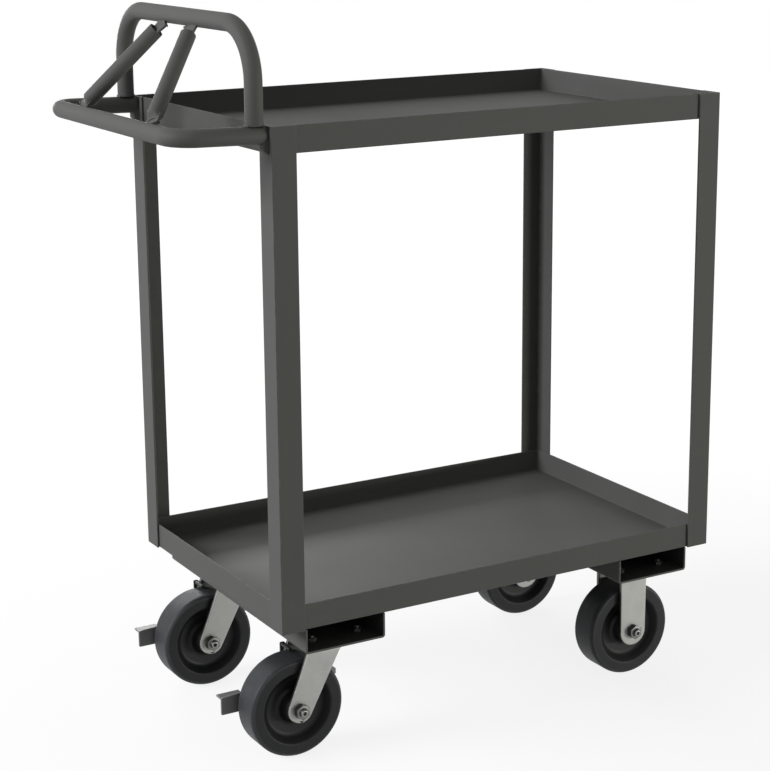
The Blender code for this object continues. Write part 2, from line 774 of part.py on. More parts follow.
def add_brake(name, x, y, z, mats):
    """A rocking lever outside the far arm: pedal, tail, and a shoe over the tread."""
    face = FORK_FACE + CLEARANCE
    arm = LEVER_ARM
    edge = LEVER_EDGE
    shoe_middle = WHEEL_RADIUS + SHOE_GAP + SHOE_THICKNESS / 2
    shoe_x = shoe_middle * math.cos(SHOE_ANGLE) - PIVOT_ALONG
    shoe_z = shoe_middle * math.sin(SHOE_ANGLE) - PIVOT_ABOVE
    pedal_in = PEDAL_LENGTH - PEDAL_TIP
    lean = SHOE_LENGTH / 2 + SHOE_EDGE
    shoe_top = shoe_z + SHOE_THICKNESS / 2 + SHOE_EDGE
    outline = rounded([
        (-PEDAL_TIP, -PEDAL_DROP, edge),
        (pedal_in, -PEDAL_DROP, 2 * edge),
        (pedal_in + arm, -PEDAL_TOP, arm / 2),
        (-arm, -PIVOT_EYE, arm),
        (PIVOT_EYE, -PIVOT_EYE, arm),
        (TAIL_TIP, -TAIL_DROP - TAIL_HEIGHT, edge),
        (TAIL_TIP, -TAIL_DROP, edge),
        (PIVOT_EYE, PIVOT_EYE, arm),
        (shoe_x + lean, shoe_top, edge),
        (shoe_x - lean, shoe_top, edge),
        (shoe_x - lean, -arm / 2, arm / 2),
        (pedal_in, -PEDAL_TOP + arm / 4, arm / 2),
        (-PEDAL_TIP, -PEDAL_TOP, edge),
    ])
    lever = remade(
        plate(
            f"brake_{name}",
            [outline, circle(PIVOT_RADIUS + CLEARANCE)],
            LEVER_THICKNESS,
            (x, y + face + LEVER_THICKNESS / 2, z),
            mats["lever"],
            upright=True,
        )
    )
    inside = face + LEVER_THICKNESS / 2
    flange = place(
        f"join_pedal_{name}",
        box_mesh("pedal", (PEDAL_LENGTH, PEDAL_FLANGE, LEVER_THICKNESS)),
        (
            x - PEDAL_TIP + PEDAL_LENGTH / 2 + CLEARANCE,
            y + inside + PEDAL_FLANGE / 2,
            z - PEDAL_TOP - LEVER_THICKNESS / 2 - CLEARANCE,
        ),
        mats["lever"],
    )
    tail = place(
        f"join_tail_{name}",
        box_mesh("tail", (LEVER_THICKNESS, TAIL_FLANGE, TAIL_HEIGHT - CLEARANCE)),
        (
            x + TAIL_TIP - LEVER_THICKNESS / 2 - CLEARANCE,
            y + inside + TAIL_FLANGE / 2,
            z - TAIL_DROP - TAIL_HEIGHT / 2,
        ),
        mats["lever"],
    )
    shoe = place(
        f"join_shoe_{name}",
        box_mesh("shoe", (SHOE_LENGTH, inside - SHOE_START, SHOE_THICKNESS)),
        (x + shoe_x, y + (inside + SHOE_START) / 2, z + shoe_z),
        mats["lever"],
    )
    shoe.rotation_euler.y = math.pi / 2 - SHOE_ANGLE
    for extra in (flange, tail, shoe):
        boolean(lever, extra, "UNION")

    start = y + FORK_GAP / 2
    outer = y + face + LEVER_THICKNESS + CLEARANCE
    pin = place(
        f"brake_pin_{name}",
        prism_mesh("brake_pin", SMALL_ROUND, PIVOT_RADIUS, start - y, outer - y + BOLT_HEAD / 2, "Y"),
        (x, y, z),
        mats["steel"],
    )
    head = place(
        f"join_pin_head_{name}",
        hexagon("pin_head", BOLT_APOTHEM, outer - y, outer - y + BOLT_HEAD, "Y"),
        (x, y, z),
        mats["steel"],
    )
    boolean(pin, head, "UNION")


def add_rigid_caster(name, x, y, mats, meshes):
    """One pressed bracket: plate and two straight arms."""
    zinc = mats["zinc"]
    outline = rectangle(PLATE_LENGTH, PLATE_WIDTH, PLATE_CORNER)
    bracket = remade(
        plate(
            f"bracket_{name}", [outline, *bolt_holes()], PLATE_THICKNESS,
            (x, y, PLATE_BOTTOM + PLATE_THICKNESS / 2), zinc,
        )
    )
    arm_top = PLATE_BOTTOM + PLATE_THICKNESS / 2
    for side in (-1, 1):
        arm = plate(
            f"join_arm_{name}_{side}",
            [
                arm_outline((0, arm_top), RIGID_ARM_WIDTH / 2, (0, AXLE_Z), RIGID_END_RADIUS),
                circle(AXLE_RADIUS + CLEARANCE, (0, AXLE_Z)),
            ],
            FORK_THICKNESS,
            (x, y + side * (FORK_GAP + FORK_THICKNESS) / 2, 0),
            zinc,
            upright=True,
        )
        boolean(bracket, remade(arm), "UNION")
    add_wheel_set(name, (x, y, AXLE_Z), mats, meshes)


def main():
    global PARTS, CUTTERS
    clear_scene()
    PARTS = make_collection("stock_cart")
    CUTTERS = make_collection("cutters")
    paint = make_material("grey paint", (0.105, 0.105, 0.102), 0.45, 0.0)
    mats = {
        "zinc": make_material("zinc plate", (0.62, 0.62, 0.60), 0.38, 0.9),
        "steel": make_material("bright steel", (0.60, 0.60, 0.58), 0.3, 1.0),
        "dark_steel": make_material("dark steel", (0.16, 0.16, 0.15), 0.4, 0.9),
        "lever": make_material("lever steel", (0.35, 0.35, 0.34), 0.42, 0.8),
        "phenolic": make_material("black phenolic", (0.028, 0.029, 0.031), 0.4, 0.0),
    }
    meshes = {
        "axle_bolt": axle_bolt_mesh(mats["steel"]),
        "axle_nut": axle_nut_mesh(mats["dark_steel"]),
        "mounting_bolt": mounting_bolt_mesh(mats["steel"]),
        "kingpin": kingpin_mesh(mats["steel"]),
    }
    add_legs(paint)
    add_shelf("shelf_lower", BASE_Z, paint)
    add_shelf("shelf_upper", TOP_Z - LIP_HEIGHT, paint)
    add_channels(paint)
    add_lower_loop(paint)
    add_upper_loop(paint)
    add_struts(paint)
    for side, y in (("near", -CASTER_Y), ("far", CASTER_Y)):
        add_swivel_caster(f"swivel_{side}", HANDLE_X + CHANNEL_MIDDLE, y, mats, meshes)
        add_rigid_caster(f"rigid_{side}", END_X - CHANNEL_MIDDLE, y, mats, meshes)
    for end, x in channel_places():
        for number, (bolt_x, bolt_y) in enumerate(bolt_places(x), 1):
            place(f"bolt_{end}_{number}", meshes["mounting_bolt"], (bolt_x, bolt_y, 0), mats["steel"])


if __name__ == "__main__":
    main()
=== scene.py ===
"""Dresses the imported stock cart: finer steel, tube, caster and wheel surfaces in the place of the
plain solids, painted and plated finishes, a small studio and the photograph's camera.

Every piece is made of closed skins: rings of points worked out with numpy, in metres, in the
frame's own coordinates. X runs along the cart with the handle at -X, Y across it, Z up.
"""

import json
import logging
import math
from collections.abc import Callable, Iterable
from dataclasses import dataclass, field
from enum import Enum
from functools import reduce
from typing import ClassVar

import bmesh
import bpy
import numpy as np
from mathutils import Euler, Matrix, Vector

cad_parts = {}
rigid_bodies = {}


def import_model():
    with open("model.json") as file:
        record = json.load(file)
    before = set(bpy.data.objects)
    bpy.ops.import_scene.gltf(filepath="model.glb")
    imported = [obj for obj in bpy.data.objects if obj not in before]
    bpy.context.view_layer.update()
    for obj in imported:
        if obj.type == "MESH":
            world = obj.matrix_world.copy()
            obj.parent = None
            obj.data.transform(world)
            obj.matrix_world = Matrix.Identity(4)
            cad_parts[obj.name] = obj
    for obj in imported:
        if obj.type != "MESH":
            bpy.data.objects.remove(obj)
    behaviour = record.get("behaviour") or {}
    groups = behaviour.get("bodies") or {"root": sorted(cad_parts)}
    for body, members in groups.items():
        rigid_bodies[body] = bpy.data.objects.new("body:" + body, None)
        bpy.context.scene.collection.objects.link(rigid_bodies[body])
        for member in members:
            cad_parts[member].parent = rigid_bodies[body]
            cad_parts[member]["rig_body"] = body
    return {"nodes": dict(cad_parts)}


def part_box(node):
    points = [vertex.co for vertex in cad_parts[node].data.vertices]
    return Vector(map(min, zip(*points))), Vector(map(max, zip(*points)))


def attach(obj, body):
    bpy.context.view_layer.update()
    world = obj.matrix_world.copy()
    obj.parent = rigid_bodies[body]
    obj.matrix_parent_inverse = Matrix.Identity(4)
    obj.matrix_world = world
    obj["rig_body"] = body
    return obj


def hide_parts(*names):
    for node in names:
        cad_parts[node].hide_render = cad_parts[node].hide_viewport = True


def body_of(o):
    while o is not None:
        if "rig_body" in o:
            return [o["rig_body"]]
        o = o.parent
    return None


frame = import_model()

Array = np.ndarray
Socket = bpy.types.NodeSocket
Triple = tuple[float, float, float]
log = logging.getLogger("stock_cart")

WELD = 1e-6  # points nearer to each other than this are merged
SHARP = math.radians(42)  # faces that meet at more than this keep a sharp edge
QUARTER = math.pi / 2
HEX_STEPS = 48  # points round a nut
THREAD_STEPS = 24  # points round a thread
ROUND_SHARE = 0.98  # rounding of an arm's end, as a share of its half width
THREAD_SUNK = 0.002  # how far a thread starts inside its nut
SHANK_SUNK = 0.003  # how far a shank ends inside its nut or head
WHITE = (1, 1, 1, 1)


class Axis(Enum):
    """An axis that outlines are raised along: the order that puts (u, v, lift) as x, y, z."""

    X = (2, 0, 1)
    Y = (0, 2, 1)
    Z = (0, 1, 2)

    def placed(self, points: Array, origin: Iterable) -> Array:
        """Puts (u, v, lift) points as x, y, z, moved by the origin."""
        return points[..., list(self.value)] + np.array(list(origin))


class Side(Enum):
    """A side of the cart, with its sign along Y."""

    NEAR = -1
    FAR = 1

    @property
    def word(self) -> str:
        """The side's name in lower case, as the nodes spell it."""
        return self.name.lower()


# ---------------------------------------------------------------- numbers and rings of points


def unit(vectors: Array) -> Array:
    """Vectors along the last axis, each divided by its own length."""
    return vectors / np.linalg.norm(vectors, axis=-1, keepdims=True)


def box(node: str) -> tuple[Array, Array]:
    """The lowest and the highest corner of a node."""
    low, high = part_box(node)
    return np.array(low), np.array(high)


def middle(node: str) -> Array:
    """The middle of a node's box."""
    low, high = box(node)
    return (low + high) / 2


def smooth_step(start: float, end: float, values: Array) -> Array:
    """3t^2 - 2t^3, where t is how far each value lies from start to end, held between 0 and 1."""
    t = np.clip((values - start) / (end - start), 0, 1)
    return t * t * (3 - 2 * t)


def whole_turn(steps: int) -> Array:
    """Angles at equal steps round a whole turn."""
    return np.arange(steps) * 2 * math.pi / steps


def anticlockwise(flat: Array) -> bool:
    """Whether a closed flat line runs anticlockwise: its cross products' sum isn't below 0."""
    after = np.roll(flat, -1, 0)
    return (flat[:, 0] * after[:, 1] - after[:, 0] * flat[:, 1]).sum() >= 0


@dataclass(frozen=True)
class Outline:
    """A closed flat line with rounded corners: points, the way outwards and the wear at each."""

    points: Array
    outward: Array
    wear: Array

    @classmethod
    def through(cls, corners: Iterable, steps: int = 5, fade: float = 0.002) -> "Outline":
        """An outline through rounded corners.

        Formula: at each corner the two sides meet an arc whose centre lies on their bisector, at
        radius / sin(half the corner's angle). Its outward way turns evenly from one side's normal
        to the other's, and each point is the centre plus or minus the radius along that way. One
        more point on each side, `fade` away, ends the worn edge there.

        Args:
            corners: (u, v, radius) of each corner, either way round.
            steps: pieces in each arc.
            fade: length over which the wear dies out beside an arc.

        Returns:
            The outline, anticlockwise.
        """
        tightest, arc_room, fade_room = 5e-5, 0.995, 0.998
        spots = np.array(list(corners), float)
        if not anticlockwise(spots):
            spots = spots[::-1]
        here, radius = spots[:, :2], np.maximum(spots[:, 2], tightest)
        back, on = np.roll(here, 1, 0) - here, np.roll(here, -1, 0) - here
        room = np.minimum(np.linalg.norm(back, axis=1), np.linalg.norm(on, axis=1)) / 2
        back, on = unit(back), unit(on)
        half = np.arccos(np.clip((back * on).sum(1), -1, 1)) / 2
        reach = np.minimum(radius / np.tan(half), room * arc_room)
        radius = reach * np.tan(half)
        centre = here + unit(back + on) * (radius / np.sin(half))[:, None]
        first = np.stack([-back[:, 1], back[:, 0]], 1)
        last = np.stack([on[:, 1], -on[:, 0]], 1)
        cross = first[:, 0] * last[:, 1] - first[:, 1] * last[:, 0]
        turn = np.arctan2(cross, (first * last).sum(1))[:, None] * np.linspace(0, 1, steps + 1)
        angle = np.arctan2(first[:, 1], first[:, 0])[:, None] + turn
        ways = np.stack([np.cos(angle), np.sin(angle)], -1)
        arcs = centre[:, None] + ways * (radius * np.sign(turn[:, -1]))[:, None, None]
        away = np.minimum(reach + fade, room * fade_room)[:, None]
        ends = (here + back * away)[:, None], (here + on * away)[:, None]
        points = np.concatenate([ends[0], arcs, ends[1]], 1)
        outward = np.concatenate([first[:, None], ways, last[:, None]], 1)
        wear = np.ones(points.shape[:2])
        wear[:, [0, -1]] = 0
        return cls(points.reshape(-1, 2), outward.reshape(-1, 2), wear.reshape(-1))

    @classmethod
    def rectangle(cls, low: Iterable, high: Iterable, radius: float, steps: int = 5) -> "Outline":
        """A rectangle between two corners, with one radius all round."""
        (a, b), (c, d) = low, high
        return cls.through([(a, b, radius), (c, b, radius), (c, d, radius), (a, d, radius)], steps)

    def raised(self, levels: Array, axis: Axis, origin: Iterable) -> tuple[Array, Array]:
        """Rings of the outline at the levels that edge_levels gives.

        Formula: each ring is the outline's points less their outward way times the inset, moved
        by the lift along the axis. A point's wear is the larger of the outline's and the level's.

        Args:
            levels: rows of (inset, lift, wear, keep).
            axis: the axis of the lift.
            origin: what the rings are moved by.

        Returns:
            Rings as (levels, points, 3), and their wear as (levels, points).
        """
        inset, lift, wear, keep = levels.T[..., None]
        flat = self.points - self.outward * inset[..., None]
        lift = np.broadcast_to(lift[..., None], (*flat.shape[:2], 1))
        rings = axis.placed(np.concatenate([flat, lift], -1), origin)
        return rings, np.maximum(self.wear, wear) * (keep > 0)


def edge_levels(low: float, high: float, edge: float, fade: float) -> Array:
    """Levels of a plate from low to high with both edges rounded.

    Formula: over a quarter turn t the inset is edge (1 - sin t) and the lift edge (1 - cos t) from
    each face. One level further in, and one further along the wall where it is long, end the wear.

    Args:
        low: lift of the lower face.
        high: lift of the upper face.
        edge: radius of the rounding.
        fade: how far the worn edge reaches over a face; 0 leaves that level out.

    Returns:
        Rows of (inset, lift, wear, keep), where keep 0 clears the outline's own wear.
    """
    long_wall, least_fade = 0.004, 0.001
    turn = np.linspace(0, QUARTER, 4)
    worn = np.ones_like(turn)
    rows = [np.stack([edge * (1 - np.sin(turn)), low + edge * (1 - np.cos(turn)), worn, worn], 1)]
    if fade:
        rows.insert(0, np.array([[edge + fade, low, 0, 0]]))
    if high - low > 2 * (edge + fade) + long_wall:
        rows.append(np.array([[0, low + edge + max(fade, least_fade), 0, 1]]))
    half = np.concatenate(rows)
    other = half[::-1].copy()
    other[:, 1] = low + high - other[:, 1]
    return np.concatenate([half, other])


def rounded_path(corners: Iterable, radius: float, steps: int = 20) -> Array:
    """Points along straight runs joined by round bends.

    Formula: each inner corner gives way to an arc about the point on its bisector at radius /
    sin(half angle), whose spokes turn evenly from the first straight's foot to the next one's.

    Args:
        corners: (x, y, z) of the ends and of each corner between them.
        radius: radius of every bend.
        steps: pieces in each bend.

    Returns:
        Points as (count, 3).
    """
    spots = np.array(list(corners), float)
    here = spots[1:-1]
    back, on = unit(spots[:-2] - here), unit(spots[2:] - here)
    half = np.arccos((back * on).sum(1))[:, None] / 2
    centre = here + unit(back + on) * radius / np.sin(half)
    first = unit(here + back * radius / np.tan(half) - centre)
    sweep = (math.pi - 2 * half)[..., None] * np.linspace(0, 1, steps + 1)[None, :, None]
    spokes = first[:, None] * np.cos(sweep) + unit(-back)[:, None] * np.sin(sweep)
    arcs = centre[:, None] + radius * spokes
    return np.concatenate([spots[:1], arcs.reshape(-1, 3), spots[-1:]])


def circles(spots: Array, first: Array, second: Array, radii: Array, facets: int) -> Array:
    """A circle about each spot.

    Formula: at angle a a point is the spot plus its radius times (first cos a plus second sin a).

    Args:
        spots: the circles' middles.
        first: a way across each circle, of length 1.
        second: the way square to it.
        radii: radius of each circle.
        facets: points round each circle.

    Returns:
        Rings as (count, facets, 3).
    """
    angle = whole_turn(facets)[:, None]
    spokes = first[:, None] * np.cos(angle) + second[:, None] * np.sin(angle)
    return spots[:, None] + spokes * radii[:, None, None]


def tube_rings(path: Array, radius: float, across: Triple, wall: float = 0.0) -> Array:
    """A round tube along a path that lies in one plane.

    Formula: round each point lies a circle in the plane of `across`, the plane's normal, and of
    the path's own normal. At each end more circles slip along the path and shrink: a small
    rounding, and for a hollow tube the mouth and the bore inside it.

    Args:
        path: points of the tube's middle line.
        radius: outer radius.
        across: normal of the plane that the path lies in.
        wall: thickness of a hollow tube's wall, or 0 for a closed end.

    Returns:
        Rings as (count, facets, 3).
    """
    edge, bore_depth, facets = 0.0005, 0.014, 40
    eased = edge * 0.3
    ways = unit(np.diff(path, axis=0))
    along = unit(np.concatenate([ways[:1], ways[:-1] + ways[1:], ways[-1:]]))
    end = [(edge, 0.0), (eased, eased), (0.0, edge)]
    if wall:
        end += [(0.0, wall - edge), (edge, wall), (bore_depth, wall)]
    slips, drops = np.array(end[::-1]).T
    last = len(path) - 1
    index = np.repeat([0, *range(1, last), last], [len(end), *[1] * (last - 1), len(end)])
    still = np.zeros(last - 1)
    slip = np.concatenate([slips, still, -slips[::-1]])
    radii = radius - np.concatenate([drops, still, drops[::-1]])
    normal = np.tile(unit(np.array(across)), (len(index), 1))
    side = unit(np.cross(along[index], normal))
    return circles(path[index] + along[index] * slip[:, None], side, normal, radii, facets)


def bead_rings(path: Array, radius: float) -> Array:
    """A weld bead along a path: overlapping ripples.

    Formula: circles about the path, whose radius falls from each ripple's crest as the fourth root
    of 1 less the square of the way to the next one, and shrinks to nothing at both ends.

    Args:
        path: points of the bead's middle line.
        radius: radius at a crest.

    Returns:
        Rings as (count, facets, 3).
    """
    pitch, depth, facets = 0.0022, 0.20, 10
    rings_each, fewest, upright, least = 5, 8, 0.9, 0.02
    length = np.concatenate([[0], np.cumsum(np.linalg.norm(np.diff(path, axis=0), axis=1))])
    run = np.linspace(0, length[-1], max(fewest, int(length[-1] / pitch * rings_each)))
    spots = np.stack([np.interp(run, length, path[:, i]) for i in range(3)], 1)
    along = unit(np.gradient(spots, axis=0))
    helper = np.where(np.abs(along[:, 2:]) > upright, [[1.0, 0, 0]], [[0, 0, 1.0]])
    side = unit(np.cross(along, helper))
    ripple = 1 - depth + depth * (1 - ((run / pitch) % 1) ** 2) ** 0.25
    ends = np.minimum(run, length[-1] - run) / radius
    radii = radius * ripple * np.sqrt(1 - (1 - np.clip(ends, least, 1)) ** 2)
    return circles(spots, side, np.cross(side, along), radii, facets)


@dataclass(frozen=True)
class Spindle:
    """An axis that rings are turned about, with a point on it from which lifts are counted."""

    centre: Iterable
    axis: Axis

    def span(self, node: str) -> tuple[float, float]:
        """The lowest and the highest lift of a node."""
        low, high = (np.array(box(node)) - self.centre)[:, self.axis.value.index(2)]
        return low, high

    def turned(self, radius: Array, lift: Array, steps: int) -> Array:
        """Rings of points about the axis.

        Formula: at each angle a of a whole turn a point is (radius cos a, radius sin a, lift).

        Args:
            radius: radius of each point, or of each ring as a column.
            lift: the same for the lift along the axis.
            steps: points round the axis.

        Returns:
            Rings as (count, steps, 3).
        """
        angle = whole_turn(steps)
        rings = np.stack([radius * np.cos(angle), radius * np.sin(angle), lift + 0 * angle], -1)
        return self.axis.placed(rings, self.centre)

    def lathe(self, outline: Outline, steps: int) -> tuple[Array, Array]:
        """A closed outline of (radius, lift) points turned about the axis, and its wear."""
        rings = self.turned(outline.points[:, :1], outline.points[:, 1:], steps)
        return rings, np.repeat(outline.wear[:, None], steps, 1)

    def spun(self, profile: Iterable, steps: int) -> Array:
        """An open line of (radius, lift) points turned about the axis."""
        line = np.array(profile, float)
        return self.turned(line[:, :1], line[:, 1:], steps)

    def hexagon(self, apothem: float, low: float, high: float, bore: float = 0.0) -> Array:
        """A hex nut or head whose corners are cut by a shallow cone at both faces.

        Formula: at angle a the flats lie at apothem / cos(a folded into -30 to 30 degrees). The
        wall starts below each face by tan 30 times how far it lies past the face's own circle.

        Args:
            apothem: half of the width across flats.
            low: lift of the lower face.
            high: lift of the upper face.
            bore: radius of the hole, or 0 for a head.

        Returns:
            Rings as (count, HEX_STEPS, 3); with a bore the last joins the first.
        """
        sixth, face_share, sink_share = math.pi / 6, 0.95, 0.02
        fold = (whole_turn(HEX_STEPS) + sixth) % (2 * sixth) - sixth
        wall, face = apothem / np.cos(fold), apothem * face_share
        drop, sink = (wall - face) * math.tan(sixth), bore * sink_share
        rows = [(face, low), (wall, low + drop), (wall, high - drop), (face, high)]
        if bore:
            rows = [(bore, low + sink), *rows, (bore, high - sink)]
        rows = np.array([[value + 0 * fold for value in row] for row in rows])
        return self.turned(rows[:, 0], rows[:, 1], HEX_STEPS)

    def thread(
        self, radius: float, pitch: float, start: float, end: float, tip: Array | None = None
    ) -> Array:
        """A threaded rod.

        Formula: radius less depth times the pitch times the distance of (lift / pitch - angle / a
        turn) from its nearest whole number, so that crest and root wind round once in each pitch.

        Args:
            radius: radius over the crests.
            pitch: lift of one turn.
            start: lift of the plain inner end.
            end: lift of the tip.
            tip: (radius, lift) points that close the tip, or None for a plain chamfer.

        Returns:
            Rings as (count, THREAD_STEPS, 3).
        """
        depth, chamfer, core, rings_each = 0.6, 0.82, 0.25, 6
        if tip is None:
            tip = np.array([(radius * chamfer, end), (radius * core, end)])
        step = math.copysign(pitch, end - start)
        lift = np.arange(start, end - step / 2, step / rings_each)[:, None]
        turns = lift / pitch - whole_turn(THREAD_STEPS) / (2 * math.pi)
        wound = radius - depth * pitch * np.abs(turns - np.round(turns))
        radii = np.concatenate([wound, np.repeat(tip[:, :1], THREAD_STEPS, 1)])
        return self.turned(radii, np.concatenate([lift, tip[:, 1:]]), THREAD_STEPS)


# ---------------------------------------------------------------- pieces


class Piece:
    """One named mesh, gathered from closed skins, that stands for a node of the frame."""

    def __init__(self, make: str, node: str, finish: "Finish") -> None:
        """Starts an empty piece.

        Args:
            make: how it is made, the first word of its name.
            node: the node that it stands for, and whose body it rides on.
            finish: what it is coated with.
        """
        self.name, self.nodes, self.finish = f"{make}_{node}", (node,), finish
        self.body = body_of(frame["nodes"][node])[0]
        self.points: list[Array] = []
        self.wear: list[Array] = []
        self.faces: list[list[int]] = []
        self.count = 0

    def skin(
        self, rings: Array, wear: Array | float = 0.0, looped: bool = False, capped: bool = True
    ) -> "Piece":
        """Adds a closed skin.

        Formula: point j of ring i, its next on the ring, and the same two on the next ring make a
        face. The first and last rings are filled, or joined where the skin is looped. If the sum
        of the tetrahedra from the middle to its faces is negative, every face is turned over.

        Args:
            rings: points as (rings, points, 3).
            wear: wear of each point, from 0 to 1.
            looped: whether the last ring joins the first.
            capped: whether the end rings are filled.

        Returns:
            This piece.
        """
        count, around = rings.shape[:2]
        index = np.arange(count * around).reshape(count, around)
        low = index if looped else index[:-1]
        high = np.roll(index, -1, 0) if looped else index[1:]
        quads = np.stack([low, np.roll(low, -1, 1), np.roll(high, -1, 1), high], -1).reshape(-1, 4)
        caps = [] if looped or not capped else [index[0][::-1], index[-1]]
        flat = rings.reshape(-1, 3)
        sheets = [quads[:, [0, 1, 2]], quads[:, [0, 2, 3]]]
        sheets += [np.stack([np.full(around - 2, cap[0]), cap[1:-1], cap[2:]], 1) for cap in caps]
        a, b, c = (flat[np.concatenate(sheets)] - flat.mean(0)).transpose(1, 0, 2)
        if (a * np.cross(b, c)).sum() < 0:
            quads, caps = quads[:, ::-1], [cap[::-1] for cap in caps]
        self.faces += (quads + self.count).tolist() + [(cap + self.count).tolist() for cap in caps]
        self.points.append(flat)
        self.wear.append(np.broadcast_to(wear, (count, around)).reshape(-1))
        self.count += count * around
        return self

    def plate(
        self, outline: Outline, low: float, high: float, edge: float, axis: Axis,
        fade: float = 0.002, origin: Iterable = (0, 0, 0),
    ) -> "Piece":
        """Adds the skin of an outline raised from low to high, as edge_levels and raised say."""
        return self.skin(*outline.raised(edge_levels(low, high, edge, fade), axis, origin))

    def bead(self, start: Iterable, end: Iterable, radius: float) -> "Piece":
        """Adds a straight weld bead."""
        return self.skin(bead_rings(np.array([list(start), list(end)]), radius))

    def made(self, grime: Callable[[Array], Array] | None = None) -> None:
        """Puts the skins into a mesh, merges poles, dresses it and hands it to its body.

        Args:
            grime: gives each of the points, as (count, 3), a share of 0 to 1 of painted shade.
        """
        mesh = bpy.data.meshes.new(self.name)
        points = np.concatenate(self.points)
        mesh.from_pydata(points, [], self.faces)
        masks = {"wear": np.concatenate(self.wear)}
        if grime:
            masks["grime"] = grime(points)
        for mask, values in masks.items():
            layer = mesh.attributes.new(mask, "FLOAT", "POINT")
            layer.data.foreach_set("value", values.astype(np.float32))
        shape = bmesh.new()
        shape.from_mesh(mesh)
        bmesh.ops.remove_doubles(shape, verts=shape.verts, dist=WELD)
        bmesh.ops.dissolve_degenerate(shape, edges=shape.edges, dist=WELD)
        shape.to_mesh(mesh)
        shape.free()
        mesh.shade_smooth()
        mesh.set_sharp_from_angle(angle=SHARP)
        mesh.materials.append(self.finish.material())
        made = bpy.data.objects.new(self.name, mesh)
        bpy.context.scene.collection.objects.link(made)
        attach(made, self.body)
        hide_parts(*self.nodes)
        log.info("%s: %d faces, for %s", self.name, len(mesh.polygons), ", ".join(self.nodes))


# ---------------------------------------------------------------- shader nodes and finishes


class Net:
    """Places nodes in a shader tree and joins them."""

    def __init__(self, tree: bpy.types.NodeTree) -> None:
        """Works on this tree."""
        self.tree = tree

    def node(self, kind: str, sockets: dict | None = None, **settings: object) -> bpy.types.Node:
        """Adds a node.

        Args:
            kind: its type without the leading "ShaderNode".
            sockets: inputs by name or index: another node's socket, or a value.
            settings: properties of the node itself.

        Returns:
            The node.
        """
        made = self.tree.nodes.new("ShaderNode" + kind)
        for name, value in settings.items():
            setattr(made, name, value)
        for key, value in (sockets or {}).items():
            if isinstance(value, Socket):
                self.tree.links.new(value, made.inputs[key])
            else:
                made.inputs[key].default_value = value
        return made

    def mixed(self, factor: Socket, first: object, second: object) -> Socket:
        """A colour between two colours."""
        return self.node("Mix", {0: factor, 6: first, 7: second}, data_type="RGBA").outputs[2]

    def ranged(
        self, value: Socket, low: float = 0.0, high: float = 1.0, start: float = 0.0,
        end: float = 1.0, **settings: str,
    ) -> Socket:
        """A value of start to end spread over low to high."""
        spread = {"Value": value, "From Min": start, "From Max": end, "To Min": low, "To Max": high}
        return self.node("MapRange", spread, **settings).outputs[0]

    def maths(self, operation: str, *values: object, clamp: bool = True) -> Socket:
        """One step of arithmetic, held between 0 and 1 unless told otherwise."""
        sockets = dict(enumerate(values))
        return self.node("Math", sockets, operation=operation, use_clamp=clamp).outputs[0]

    def times(self, *values: Socket) -> Socket:
        """The product of the values, held between 0 and 1."""
        return reduce(lambda product, value: self.maths("MULTIPLY", product, value), values)

    def spot(self) -> Socket:
        """The place on the object, in its own coordinates."""
        return self.node("TexCoord").outputs["Object"]

    def noise(self, scale: object, detail: float, vector: Socket | None = None) -> Socket:
        """Places a noise.

        Args:
            scale: how fine it is.
            detail: how many finer layers it has.
            vector: what it is read over, or None for the object's own coordinates.

        Returns:
            Its value.
        """
        sockets = {"Vector": vector or self.spot(), "Scale": scale, "Detail": detail}
        return self.node("TexNoise", sockets | {"Roughness": 0.55}).outputs[0]

    def attribute(self, name: str) -> Socket:
        """A float attribute of the piece's points."""
        return self.node("Attribute", attribute_name=name).outputs["Fac"]

    def effect(self, group: bpy.types.NodeTree, **values: float) -> Socket:
        """Places one of the shared groups.

        Args:
            group: the group.
            values: this material's own values for its inputs.

        Returns:
            The group's output.
        """
        node = self.node("Group", node_tree=group)
        for name, value in values.items():
            node.inputs[name.replace("_", " ").capitalize()].default_value = value
        return node.outputs[0]


def shared_group(
    name: str, output: str, fill: Callable[..., Socket], **inputs: float
) -> bpy.types.NodeTree:
    """Builds a node group of floats.

    Args:
        name: the group's name.
        output: its output's name.
        fill: places the nodes, given a net and the sockets of the inputs by their names.
        inputs: its inputs' first values.

    Returns:
        The group.
    """
    tree = bpy.data.node_groups.new(name, "ShaderNodeTree")
    tree.interface.new_socket(name=output, in_out="OUTPUT", socket_type="NodeSocketFloat")
    for word, value in inputs.items():
        tree.interface.new_socket(
            name=word.replace("_", " ").capitalize(), in_out="INPUT", socket_type="NodeSocketFloat"
        ).default_value = value
    given, out = tree.nodes.new("NodeGroupInput"), tree.nodes.new("NodeGroupOutput")
    tree.links.new(fill(Net(tree), **dict(zip(inputs, given.outputs))), out.inputs[0])
    return tree


def mottle(net: Net, scale: Socket, contrast: Socket) -> Socket:
    """Cloudy variation: coarse noise plus a third of noise six times as fine.

    Args:
        net: the group's net.
        scale: how fine the coarse noise is.
        contrast: how far the value swings about a half.

    Returns:
        The value.
    """
    finer, fine_share = 6.3, 0.34
    fine = net.maths("MULTIPLY", scale, finer, clamp=False)
    clouds = {0: fine_share, 2: net.noise(scale, 4), 3: net.noise(fine, 3)}
    both = net.node("Mix", clouds, data_type="FLOAT").outputs[0]
    centred = net.maths("SUBTRACT", both, 0.5, clamp=False)
    return net.maths("MULTIPLY_ADD", centred, contrast, 0.5)


